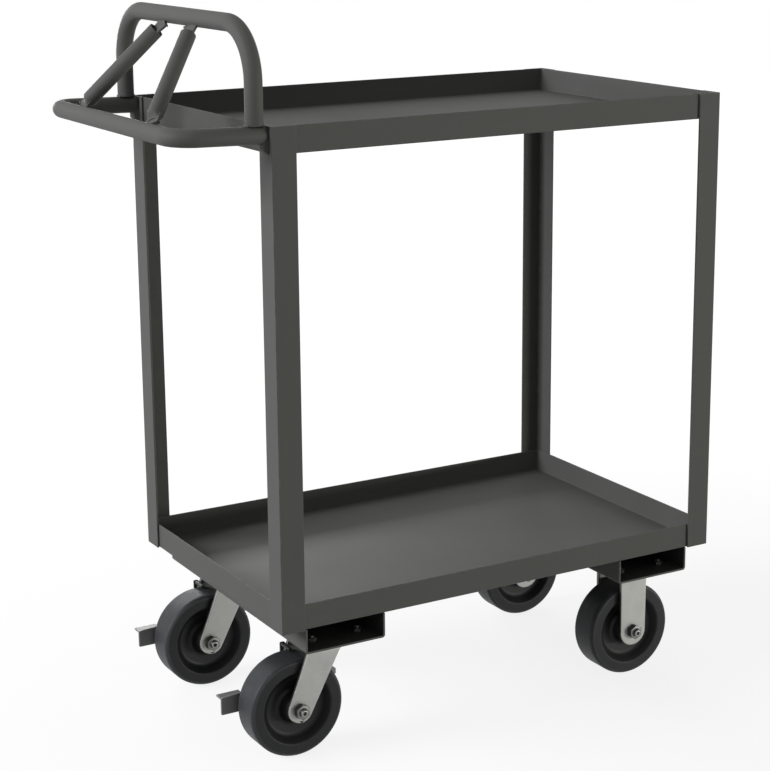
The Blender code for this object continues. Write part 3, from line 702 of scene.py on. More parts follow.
def grain(net: Net, scale: Socket, **along: Socket) -> Socket:
    """Height of a fine even texture, which can be stretched along an axis.

    Args:
        net: the group's net.
        scale: how fine it is.
        along: how many times as fine it is along x, y and z.

    Returns:
        The height.
    """
    stretch = net.node("CombineXYZ", dict(enumerate(along.values()))).outputs[0]
    place = net.node("VectorMath", {0: net.spot(), 1: stretch}, operation="MULTIPLY").outputs[0]
    return net.noise(scale, 2, place)


def rubbed(net: Net, scale: Socket, amount: Socket, even: Socket) -> Socket:
    """Worn edges: the wear attribute where a coarse noise is high.

    Args:
        net: the group's net.
        scale: how fine the noise is.
        amount: how worn the edges are.
        even: the least that the noise lets through, from 0 to 1.

    Returns:
        The mask.
    """
    patch = net.ranged(net.noise(scale, 5), start=0.42, end=0.62)
    return net.times(net.attribute("wear"), net.maths("MAXIMUM", patch, even), amount)


def dust(net: Net, scale: Socket, amount: Socket) -> Socket:
    """Dust on what faces up: the normal's height, to the third power, times a cloudy noise.

    Args:
        net: the group's net.
        scale: how fine the noise is.
        amount: how thick the dust is.

    Returns:
        The mask.
    """
    up = net.node("SeparateXYZ", {0: net.node("NewGeometry").outputs["Normal"]}).outputs[2]
    steep = net.maths("POWER", net.maths("MAXIMUM", up, 0.0), 3.0)
    cloud = net.ranged(net.noise(scale, 6), start=0.35, end=0.75)
    return net.times(steep, cloud, amount)


def scratches(net: Net, scale: Socket, amount: Socket) -> Socket:
    """Fine scratches: two stretched noises, each kept only along its thin middle line.

    Args:
        net: the group's net.
        scale: how fine the noises are.
        amount: how strong the scratches are.

    Returns:
        The mask.
    """
    half_width, patch_scale = 0.012, 7.0
    lines = []
    for turn, stretch in ((0.5, (0.06, 1.0, 1.0)), (-1.1, (1.0, 0.07, 1.0))):
        turned_by = {"Vector": net.spot(), "Rotation": (turn, turn, turn), "Scale": stretch}
        cloud = net.noise(scale, 2, net.node("Mapping", turned_by).outputs[0])
        off = net.maths("ABSOLUTE", net.maths("SUBTRACT", cloud, 0.5, clamp=False), clamp=False)
        lines.append(net.ranged(off, low=1.0, high=0.0, end=half_width))
    here = net.ranged(net.noise(patch_scale, 3), start=0.52, end=0.66)
    return net.times(net.maths("MAXIMUM", *lines), here, amount)


def grime(net: Net, scale: Socket, amount: Socket) -> Socket:
    """Painted shade in hollows and on shaded faces: the mesh's shade attribute, a little broken up
    by noise.

    Args:
        net: the group's net.
        scale: how fine the noise is.
        amount: how dark the painted shade is.

    Returns:
        The mask.
    """
    cloud = net.ranged(net.noise(scale, 4), low=0.75, start=0.25, end=0.6)
    return net.times(net.attribute("grime"), cloud, amount)


MOTTLE = shared_group("mottle", "Value", mottle, scale=20.0, contrast=1.0)
GRAIN = shared_group("grain", "Height", grain, scale=600.0, along_x=1.0, along_y=1.0, along_z=1.0)
RUBBED = shared_group("rubbed edges", "Mask", rubbed, scale=60.0, amount=0.5, even=0.0)
DUST = shared_group("settled dust", "Mask", dust, scale=9.0, amount=0.3)
SCRATCHES = shared_group("scratches", "Mask", scratches, scale=30.0, amount=0.3)
PAINTED_SHADE = shared_group("grime", "Mask", grime, scale=25.0, amount=0.8)


@dataclass(frozen=True)
class Finish:
    """A coat: the record's slot, its colours, how rough, varied, rubbed and dusty it is, and how
    dark its painted shade is.
    """

    name: str
    slot: str
    colour: Triple
    second: Triple
    rubbed_colour: Triple
    rough: tuple[float, float]
    metallic: float = 0.0
    specular: float = 0.5
    mottle_scale: float = 12.0
    mottle: float = 1.6
    grain_scale: float = 900.0
    grain_height: float = 0.00002
    rubbed: float = 0.4
    rubbed_even: float = 0.0
    dust: float = 0.0
    scratched: float = 0.2
    grime: float = 0.0
    dust_colour: ClassVar[Triple] = (0.30, 0.29, 0.27)
    dust_rough: ClassVar[float] = 0.4
    # share of the colour that is left where shade is painted in full
    grime_share: ClassVar[float] = 0.12

    def material(self) -> bpy.types.Material:
        """The finish's material, made the first time it is asked for."""
        return bpy.data.materials.get(self.name) or self._build()

    def _build(self) -> bpy.types.Material:
        """Builds the node tree.

        The colour goes from the first to the second with the mottle, then to the rubbed colour on
        worn edges and scratches, then to a dark share of the first where shade is painted, then to
        dust.
        Roughness follows the mottle and rises with dust.

        Returns:
            The material.
        """
        made = bpy.data.materials.new(self.name)
        made.use_nodes = True
        net = Net(made.node_tree)
        inputs = made.node_tree.nodes["Principled BSDF"].inputs
        cloud = net.effect(MOTTLE, scale=self.mottle_scale, contrast=self.mottle)
        colour = net.mixed(cloud, (*self.colour, 1), (*self.second, 1))
        edges = net.effect(RUBBED, amount=self.rubbed, even=self.rubbed_even)
        worn = net.maths("MAXIMUM", edges, net.effect(SCRATCHES, amount=self.scratched))
        colour = net.mixed(worn, colour, (*self.rubbed_colour, 1))
        rough = net.ranged(cloud, *self.rough)
        # painted shade: the colour falls to a dark share of itself where the mesh's shade attribute
        # is high
        if self.grime:
            dark = tuple(self.grime_share * value for value in self.colour)
            colour = net.mixed(net.effect(PAINTED_SHADE, amount=self.grime), colour, (*dark, 1))
        if self.dust:
            settled = net.effect(DUST, amount=self.dust)
            colour = net.mixed(settled, colour, (*self.dust_colour, 1))
            rough = net.maths("ADD", rough, net.maths("MULTIPLY", settled, self.dust_rough))
        height = net.effect(GRAIN, scale=self.grain_scale)
        bump = net.node("Bump", {"Height": height, "Distance": self.grain_height}).outputs[0]
        for name, socket in {"Base Color": colour, "Roughness": rough, "Normal": bump}.items():
            made.node_tree.links.new(socket, inputs[name])
        inputs["Metallic"].default_value = self.metallic
        inputs["Specular IOR Level"].default_value = self.specular
        return made


PAINT = Finish(
    "satin grey paint", "paint", (0.104, 0.104, 0.100), (0.119, 0.119, 0.115),
    (0.18, 0.18, 0.175), (0.52, 0.64), specular=0.10, mottle_scale=7.0, mottle=1.3,
    grain_scale=700.0, grain_height=0.00003, rubbed=0.35, dust=0.08, scratched=0.08, grime=0.85,
)
ZINC = Finish(
    "zinc plating", "zinc", (0.26, 0.26, 0.25), (0.32, 0.32, 0.31), (0.42, 0.42, 0.40),
    (0.40, 0.52), metallic=0.8, mottle_scale=45.0, mottle=1.8, grain_scale=1400.0,
    grain_height=0.00001, rubbed=0.5, scratched=0.25, grime=0.9,
)
STEEL = Finish(
    "bright steel", "steel", (0.22, 0.22, 0.215), (0.30, 0.30, 0.29), (0.40, 0.40, 0.38),
    (0.42, 0.52), metallic=0.8, specular=0.3, mottle_scale=80.0, grain_scale=2200.0,
    grain_height=0.000008, rubbed=0.5, grime=0.95,
)
# a darker copy of bright steel for the mounting bolts: painted shade inside the channels
SHADED_STEEL = Finish(
    "oiled steel", "steel", (0.055, 0.055, 0.052), (0.09, 0.09, 0.085), (0.20, 0.20, 0.19),
    (0.32, 0.42), metallic=0.7, mottle_scale=80.0, grain_scale=2200.0,
    grain_height=0.000008, dust=0.1,
)
NUT_STEEL = Finish(
    "worn nut steel", "dark_steel", (0.15, 0.15, 0.145), (0.22, 0.22, 0.21),
    (0.30, 0.30, 0.29), (0.42, 0.52), metallic=0.7, specular=0.3, mottle_scale=80.0,
    grain_scale=1800.0, grain_height=0.00001, grime=0.97,
)
LEVER = Finish(
    "lever steel", "lever", (0.17, 0.17, 0.165), (0.23, 0.23, 0.225), (0.32, 0.32, 0.31),
    (0.44, 0.56), metallic=0.3, specular=0.3, mottle_scale=40.0, grain_scale=1200.0,
    grain_height=0.000012, rubbed=0.5, scratched=0.3, grime=1.0,
)
# the rubbed colour, let through fairly evenly, lightens the tread: partly wear, partly a painted
# sheen
PHENOLIC = Finish(
    "black phenolic", "phenolic", (0.0115, 0.012, 0.013), (0.018, 0.0185, 0.020),
    (0.057, 0.060, 0.066), (0.42, 0.56), specular=0.20, mottle_scale=34.0, mottle=2.0,
    grain_scale=520.0, grain_height=0.00005, rubbed=0.9, rubbed_even=0.75, scratched=0.3,
    grime=0.55,
)


# ---------------------------------------------------------------- frame and shelves


@dataclass
class AngleLeg:
    """One corner leg: a rolled angle that wraps the shelves' corners, cut square at both ends."""

    end: str
    side: Side
    thickness: float = 0.0032
    edge: float = 0.0008
    fillet: float = 0.0032
    saw_edge: float = 0.0004
    skim: float = 0.0006
    hollow_grime: float = 0.40

    def build(self) -> None:
        """Raises the angle's section, drawn from the outer corner, from end to end."""
        node = f"leg_{self.end}_{self.side.word}"
        low, high = box(node)
        width, thick, edge = high[0] - low[0], self.thickness, self.edge
        along = 1 if self.end == "handle" else -1
        across = -self.side.value
        x, y = (low if along > 0 else high)[0], (low if across > 0 else high)[1]
        section = [
            (0, 0, edge), (width, 0, edge), (width, thick, edge),
            (thick, thick, self.fillet), (thick, width, edge), (0, width, edge),
        ]
        outline = Outline.through([(x + a * along, y + b * across, r) for a, b, r in section])

        def hollow(points: Array) -> Array:
            """Painted shade on the inner face of the wall that runs along the cart."""
            deep = np.abs((points[:, 1] - y) * across - thick) < self.skim
            return self.hollow_grime * (deep & ((points[:, 0] - x) * along > thick + self.skim))

        piece = Piece("angle", node, PAINT)
        piece.plate(outline, low[2], high[2], self.saw_edge, Axis.Z, fade=0.0).made(hollow)


@dataclass
class Shelf:
    """A deck of bent sheet with a lip turned up on every side, seamed at its four corners."""

    node: str
    end_scuff: float
    sheet: float = 0.0019
    bend: float = 0.0025
    inner_bend: float = 0.0014
    top_edge: float = 0.0006
    tightest: float = 0.0006
    seam_radius: float = 0.0011
    seam_in: float = 0.25
    seam_drop: float = 0.0015
    reach: float = 0.004
    fade: float = 0.002
    under_wear: float = 0.6
    skim: float = 0.0002
    steps: int = 5

    def build(self) -> None:
        """Carries the lip's section round the shelf.

        Formula: rings of (inset, height) follow the deck, the inner bend, the lip's inner wall, its
        rounded top, the outer wall, the outer bend and the underside. Each is a rounded rectangle
        whose corner radius shrinks with the inset.
        """
        low, high = box(self.node)
        sheet, bend, edge, inner = self.sheet, self.bend, self.top_edge, self.inner_bend
        base, top, floor = low[2], high[2], low[2] + sheet
        turn = np.linspace(0, QUARTER, self.steps + 1)
        less_sin, less_cos = 1 - np.sin(turn), 1 - np.cos(turn)

        def arc(insets: Array, heights: Array, wear: float) -> Array:
            """Rows of (inset, height, wear) round one bend."""
            return np.stack([insets, heights, np.full(len(turn), wear)], 1)

        rows = np.concatenate([
            [(sheet + inner + self.reach, floor, 0.0)],
            arc(sheet + inner * less_sin, floor + inner * less_cos, 0.0),
            [(sheet, top - edge - self.fade, 0.0)],
            arc(sheet - edge * less_cos, top - edge * less_sin, 1.0),
            arc(edge * less_sin, top - edge * less_cos, 1.0),
            [(0.0, top - edge - self.fade, 0.0), (0.0, base + bend + self.fade, 0.0)],
            arc(bend * less_cos, base + bend * less_sin, self.under_wear),
            [(bend + self.reach, base, 0.0)],
        ])
        rings = []
        for inset, height, _ in rows:
            radius = max(bend - inset, self.tightest)
            flat = Outline.rectangle(low[:2] + inset, high[:2] - inset, radius, self.steps).points
            rings.append(np.column_stack([flat, np.full(len(flat), height)]))
        piece = Piece("bent", self.node, PAINT).skin(np.array(rings), rows[:, 2:])
        for x in (low[0] + sheet, high[0] - sheet):
            for y in (low[1] + sheet, high[1] - sheet):
                inward = np.sign([low[0] + high[0] - 2 * x, -y])
                seat = np.array([x, y]) + inward * self.seam_radius * self.seam_in
                ends = (*seat, floor + inner / 2), (*seat, top - self.seam_drop)
                piece.bead(*ends, self.seam_radius)

        def scuffed(points: Array) -> Array:
            """Painted shade on the outer faces of the two end lips."""
            out = np.abs(points[:, 0] - (low[0] + high[0]) / 2)
            return self.end_scuff * (out > (high[0] - low[0]) / 2 - self.skim)

        piece.made(scuffed)


@dataclass
class CasterChannel:
    """A pressed channel under one end of the lower shelf, walls up, welded under the deck."""

    end: str
    thickness: float = 0.003
    bend: float = 0.0045
    inner_bend: float = 0.0015
    saw_edge: float = 0.0003
    bead: float = 0.0017
    bead_down: float = 0.45
    bead_out: float = 0.2
    bead_length: float = 0.030
    bead_places: tuple[float, ...] = (-0.19, -0.065, 0.065, 0.19)
    skim: float = 0.0004
    cut_skim: float = 0.0005

    def build(self) -> None:
        """Raises the U section across the cart and lays short weld beads along its walls."""
        node = f"channel_{self.end}"
        low, high = box(node)
        (left, _, base), (right, _, top) = low, high
        thick, floor, edge = self.thickness, base + self.thickness, self.saw_edge
        outline = Outline.through([
            (left, base, self.bend), (right, base, self.bend), (right, top, edge),
            (right - thick, top, edge), (right - thick, floor, self.inner_bend),
            (left + thick, floor, self.inner_bend), (left + thick, top, edge), (left, top, edge),
        ], steps=6)
        piece = Piece("pressed", node, PAINT)
        piece.plate(outline, low[1], high[1], edge, Axis.Y, fade=0.0)
        half, z = self.bead_length / 2, top - self.bead * self.bead_down
        out = self.bead * self.bead_out
        for y in self.bead_places:
            for x in (left - out, right + out):
                piece.bead((x, y - half, z), (x, y + half, z), self.bead)
        reach = (right - left) / 2 - thick + self.skim

        def inside(points: Array) -> Array:
            """Painted shade: 1 between the walls and over the web, but not on the cut ends."""
            x, y, z = (points - [(left + right) / 2, 0, floor - self.skim]).T
            return (np.abs(x) < reach) & (z > 0) & (np.abs(y) < high[1] - self.cut_skim)

        # the channel's inside is darkened: painted shade
        piece.made(inside)


# ---------------------------------------------------------------- handle


@dataclass
class Handle:
    """The raised push handle: a level loop from the legs, a second loop that stands on it, and
    two struts between them."""

    radius: float = 0.0127
    wall: float = 0.0022
    edge: float = 0.0005
    lower_bend: float = 0.034
    upper_bend: float = 0.076
    pad_width: float = 0.018
    pad_depth: float = 0.0075
    pad_chamfer: float = 0.0055
    pad_top_drop: float = 0.0033
    pad_gap: float = 0.0003
    tube_in: float = 0.4
    strut_radius: float = 0.0115
    strut_wall: float = 0.0016
    strut_bore: float = 0.014
    strap_end: float = 0.0168
    strap_foot: float = 0.0130
    strap_hidden: float = 0.0094
    strap_depth: float = 0.0019
    strap_edge: float = 0.0006
    strap_show: float = 0.018
    swage: float = 0.010
    swage_depth: float = 0.0035
    foot_spread: float = 0.133
    head_spread: float = 0.042
    bead: float = 0.0019
    pad_bead: float = 0.75
    pad_bead_ends: float = 0.002
    saddle_bead: float = 0.8
    saddle_turn: float = 0.55
    saddle_lift: float = 0.0006
    seam_bead: float = 0.0010
    seam_out: float = 0.0004
    seam_reach: float = 0.011
    skim: float = 0.0002
    rise: float = 0.0037
    reach: float = 0.133

    def __post_init__(self) -> None:
        """Takes the handle's place from the frame's boxes."""
        (lower_low, lower_high), (upper_low, upper_high) = box("handle_lower"), box("handle_upper")
        leg_low, leg_high = box("leg_handle_near")
        self.leg_x = leg_low[0]
        self.front = lower_low[0] + self.radius
        self.side = upper_high[1] - self.radius
        self.front_z = lower_high[2] - self.radius
        self.upper_x = (upper_low[0] + upper_high[0]) / 2
        self.upper_z = upper_high[2] - self.radius
        self.foot_z = upper_low[2]
        self.pad_low, self.pad_top = lower_low[2], leg_high[2] - self.pad_top_drop

    def build(self) -> None:
        """Builds the two loops and the struts."""
        self._lower()
        self._upper()
        for side in Side:
            self._strut(side)

    def _lower(self) -> None:
        """The lower loop: a bent tube that rises evenly from a chamfered block at each leg."""
        start, slope = self.leg_x - self.pad_depth * self.tube_in, self.rise / self.reach
        start_z = self.front_z - self.rise * (1 - (self.leg_x - start) / self.reach)
        path = rounded_path([
            (start, -self.side, start_z), (self.front, -self.side, self.front_z),
            (self.front, self.side, self.front_z), (start, self.side, start_z),
        ], self.lower_bend)
        piece = Piece("bent", "handle_lower", PAINT)
        piece.skin(tube_rings(path, self.radius, (-slope, 0, -1)))
        outer, inner = self.leg_x - self.pad_depth, self.leg_x - self.pad_gap
        block = Outline.through([
            (outer, self.pad_low + self.pad_chamfer, self.edge), (inner, self.pad_low, self.skim),
            (inner, self.pad_top, self.skim), (outer, self.pad_top, self.edge),
        ])
        half, x = self.pad_width / 2, inner - self.bead * 0.35
        low, high = self.pad_low + self.pad_bead_ends, self.pad_top - self.pad_bead_ends
        for y in (-self.side, self.side):
            piece.plate(block, y - half, y + half, self.edge, Axis.Y, fade=0.0)
            for at in (y - half - self.bead * 0.1, y + half + self.bead * 0.1):
                piece.bead((x, at, low), (x, at, high), self.bead * self.pad_bead)
        piece.made()

    def _upper(self) -> None:
        """The upper loop: a hollow tube cut square where it stands on the lower one."""
        x, y, z, foot = self.upper_x, self.side, self.upper_z, self.foot_z
        corners = [(x, -y, foot), (x, -y, z), (x, y, z), (x, y, foot)]
        piece = Piece("bent", "handle_upper", PAINT)
        path = rounded_path(corners, self.upper_bend, 28)
        piece.skin(tube_rings(path, self.radius, (1, 0, 0), self.wall))
        radius, half = self.radius + self.skim, np.linspace(-self.saddle_turn, self.saddle_turn, 12)
        for side in Side:
            for turn in (0.0, math.pi):
                across, along = radius * np.cos(turn + half), radius * np.sin(turn + half)
                level = np.full_like(half, foot + self.saddle_lift)
                saddle = np.stack([x + across, side.value * y + along, level], 1)
                piece.skin(bead_rings(saddle, self.bead * self.saddle_bead))
        piece.made()

    def _strut(self, side: Side) -> None:
        """A strut: a round tube with a flat strap out of each end, welded to a loop.

        Formula: rings stand at right angles to the line from foot to head. Their first spoke is the
        cart's Y made square to that line, and their second is square to both. At the foot the
        circle flattens into an ellipse by a smooth step; at the head it is cut, with its bore. A
        strap's half width grows from the tube's mouth towards the loop.

        Args:
            side: the strut's side of the cart.
        """
        foot = np.array([self.front, side.value * self.foot_spread, self.front_z])
        head = np.array([self.upper_x, side.value * self.head_spread, self.upper_z])
        up = unit(head - foot)
        wide = unit(np.array([0.0, 1.0, 0.0]) - up * up[1])
        deep = np.cross(up, wide)
        length = float(np.linalg.norm(head - foot))
        cut = self.radius + self.strap_show
        end = length - cut
        radius, edge, bore = self.strut_radius, self.edge, self.strut_radius - self.strut_wall
        piece = Piece("round", f"strut_{side.word}", PAINT)

        def laid(flat: Array, lifts: Array) -> Array:
            """Flat (wide, deep) points at their lifts, in the cart's coordinates."""
            return foot + flat[..., :1] * wide + flat[..., 1:] * deep + lifts[:, None, None] * up

        blend = np.linspace(0, 1, 10)
        flattened = np.array([self.strap_foot, self.swage_depth])
        swaged = flattened + (radius - flattened) * smooth_step(0, 1, blend)[:, None]
        lifts, radii = np.array([
            (length / 2, radius), (end - edge, radius), (end - 0.3 * edge, radius - 0.3 * edge),
            (end, radius - edge), (end, bore + edge), (end - edge, bore),
            (end - self.strut_bore, bore),
        ]).T
        halves = np.concatenate([swaged, np.stack([radii, radii], 1)])
        angle = whole_turn(36)
        circle = np.stack([np.cos(angle), np.sin(angle)], -1)
        lifts = np.concatenate([cut - self.swage * (1 - blend), lifts])
        piece.skin(laid(circle * halves[:, None], lifts))
        lifts, widths = np.array([
            (self.radius - 0.0012, self.strap_end), (cut * 0.62, self.strap_end * 0.93),
            (cut * 0.85, self.strap_end * 0.80), (cut - 0.001, self.strap_foot),
            (cut + 0.005, self.strap_hidden), (cut + 0.012, self.strap_hidden),
        ]).T
        corners = np.stack([widths, np.full_like(widths, self.strap_depth)], 1)
        straps = [Outline.rectangle(-corner, corner, self.strap_edge, 3) for corner in corners]
        flat = np.array([strap.points for strap in straps])
        for origin, way in ((0.0, 1), (length, -1)):
            piece.skin(laid(flat, origin + way * lifts), straps[0].wear / 2)
        corner = np.array([self.strap_end, self.strap_depth]) + self.seam_out
        ring = Outline.rectangle(-corner, corner, self.seam_bead, 4).points
        spread = ring[:, :1] * wide + ring[:, 1:] * deep
        for centre, way in ((foot, up), (head, -up)):
            off = spread @ unit(np.cross(way, (0.0, 1.0, 0.0)))
            off = np.clip(off, -self.seam_reach, self.seam_reach)
            reach = np.sqrt(self.radius**2 - off**2) + self.skim
            path = centre + spread + way * reach[:, None]
            piece.skin(bead_rings(np.concatenate([path, path[:1]]), self.seam_bead))
        piece.made()


# ---------------------------------------------------------------- casters


def greasy_arms(
    points: Array, middle_y: float, outer: float, thickness: float, edge: float, under: float
) -> Array:
    """Painted shade on two arms' edges, and more on the faces that look at the wheel.

    Args:
        points: points as (count, 3).
        middle_y: Y halfway between the arms.
        outer: how far the arms' outer faces are from there.
        thickness: thickness of an arm.
        edge: radius of an arm's edges.
        under: height that the arms stay below.

    Returns:
        A share of 0 to 1 for each point.
    """
    on_edges, more_inside, inside_from = 0.70, 0.2, 0.8
    deep = outer - np.abs(points[:, 1] - middle_y)
    share = on_edges * (deep > edge / 2) + more_inside * (deep > thickness * inside_from)
    return share * (points[:, 2] < under)


@dataclass
class Wheel:
    """A moulded wheel with its steel bushing, axle bolt and nut."""

    name: str
    hub_step: float = 0.0020
    dish: float = 0.0140
    tread: float = 0.84
    shoulder: float = 0.955
    rim: float = 0.740
    dish_share: float = 0.610
    web: float = 0.340
    hub: float = 0.250
    tread_wear: float = 0.75
    worn_from: float = 0.93
    tread_from: float = 0.985
    dirt_depth: float = 0.30
    floor_inner: tuple[float, float] = (0.40, 0.48)
    floor_outer: tuple[float, float] = (0.56, 0.60)
    floor_clean: float = 0.85
    clearance: float = 0.0003
    bushing_wall: float = 0.00285
    bushing_edge: float = 0.0004
    axle: float = 0.00635
    apothem: float = 0.0105
    head: float = 0.0075
    pitch: float = 0.00125
    shank: float = 0.98
    chamfer: float = 0.24
    dimple: float = 0.0029
    oily_end: float = 0.2
    steps: int = 112

    def build(self) -> None:
        """Turns the wheel and its bushing, and sets the bolt and the nut on their axle.

        Formula: the wheel's profile of (radius, height, rounding) runs from the bore over the hub,
        the web, the dish's floor, its rim and the shoulder to the tread, and back as a mirror
        image. Its wear is kept near the tread, which is lightened all over: partly wear, partly a
        painted sheen.
        """
        wheel, bushing = f"wheel_{self.name}", f"bushing_{self.name}"
        centre = middle(wheel)
        axle = Spindle(centre, Axis.Y)
        half = box(wheel)[1] - centre
        outer, half_hub = half[2], half[1]
        rim = half_hub - self.hub_step
        floor = rim - self.dish
        inner = self.axle + self.clearance
        over = inner + self.bushing_wall
        face = [
            (outer, rim * self.tread, 0.012), (outer * self.shoulder, rim, 0.003),
            (outer * self.rim, rim, 0.0030), (outer * self.dish_share, floor, 0.009),
            (outer * self.web, floor * self.tread, 0.007), (outer * self.hub, half_hub, 0.0020),
            (over + self.clearance, half_hub, 0.0005),
        ]
        profile = Outline.through(face[::-1] + [(r, -y, e) for r, y, e in face])
        rings, wear = axle.lathe(profile, self.steps)
        away = np.linalg.norm((rings - centre)[..., [0, 2]], axis=-1) / outer
        # the whole tread takes the rubbed colour: partly wear, partly a painted sheen
        tread = self.tread_wear * (away > self.tread_from)
        wear = np.maximum(wear * (away > self.worn_from), tread)

        def dished(points: Array) -> Array:
            """Painted shade on the dish's wall and round the hub, and less on its floor.

            Args:
                points: the wheel's points as (count, 3).

            Returns:
                A share of 0 to 1 for each point.
            """
            x, y, z = (points - centre).T
            share = np.hypot(x, z) / outer
            down = smooth_step(0.0, self.dish * self.dirt_depth, rim - np.abs(y))
            starts = smooth_step(*self.floor_inner, share)
            flat = starts * (1 - smooth_step(*self.floor_outer, share))
            return down * (share < self.shoulder) * (1 - self.floor_clean * flat)

        Piece("moulded", wheel, PHENOLIC).skin(rings, wear, looped=True).made(dished)
        reach = axle.span(bushing)[1]
        ring = Outline.rectangle((inner, -reach), (over, reach), self.bushing_edge, 2)
        Piece("turned", bushing, STEEL).skin(*axle.lathe(ring, 48), looped=True).made()
        self._fasteners(axle)

    def _fasteners(self, axle: Spindle) -> None:
        """The hex head on the far side, and the thread's dimpled end through the nut.

        Args:
            axle: the wheel's axle.
        """
        bolt, nut = f"axle_bolt_{self.name}", f"axle_nut_{self.name}"
        (low, high), (nut_low, nut_high) = axle.span(bolt), axle.span(nut)
        radius, head = self.axle, high - self.head
        chamfer = low + radius * self.chamfer
        piece = Piece("threaded", bolt, STEEL)
        piece.skin(axle.hexagon(self.apothem, head, high))
        tip = np.array([
            (radius * 0.97, chamfer), (radius * 0.80, low + 0.0002), (radius * 0.76, low),
            (0.0032, low), (0.0028, low + 0.0006), (0.0006, low + 0.0030),
        ])
        piece.skin(axle.thread(radius, self.pitch, nut_high - THREAD_SUNK, chamfer, tip))
        thin = radius * self.shank
        piece.skin(axle.spun([(thin, nut_high - SHANK_SUNK), (thin, head + THREAD_SUNK)], 32))

        thread_shade_from = low + radius * self.oily_end

        def oily(points: Array) -> Array:
            """Painted shade on the thread and in the dimple of its end."""
            x, y, z = (points - axle.centre).T
            return (y < nut_low) * ((np.hypot(x, z) < self.dimple) | (y > thread_shade_from))

        def flats(points: Array) -> Array:
            """Painted shade on the nut's flats, which lie past its faces' own circles."""
            away = np.linalg.norm((points - axle.centre)[:, [0, 2]], axis=1) / self.apothem
            return smooth_step(0.955, 1.0, away)

        piece.made(oily)
        rings = axle.hexagon(self.apothem, nut_low, nut_high, radius + self.clearance)
        # the nut's flats are darkened: painted shade
        Piece("cut", nut, NUT_STEEL).skin(rings, looped=True).made(flats)


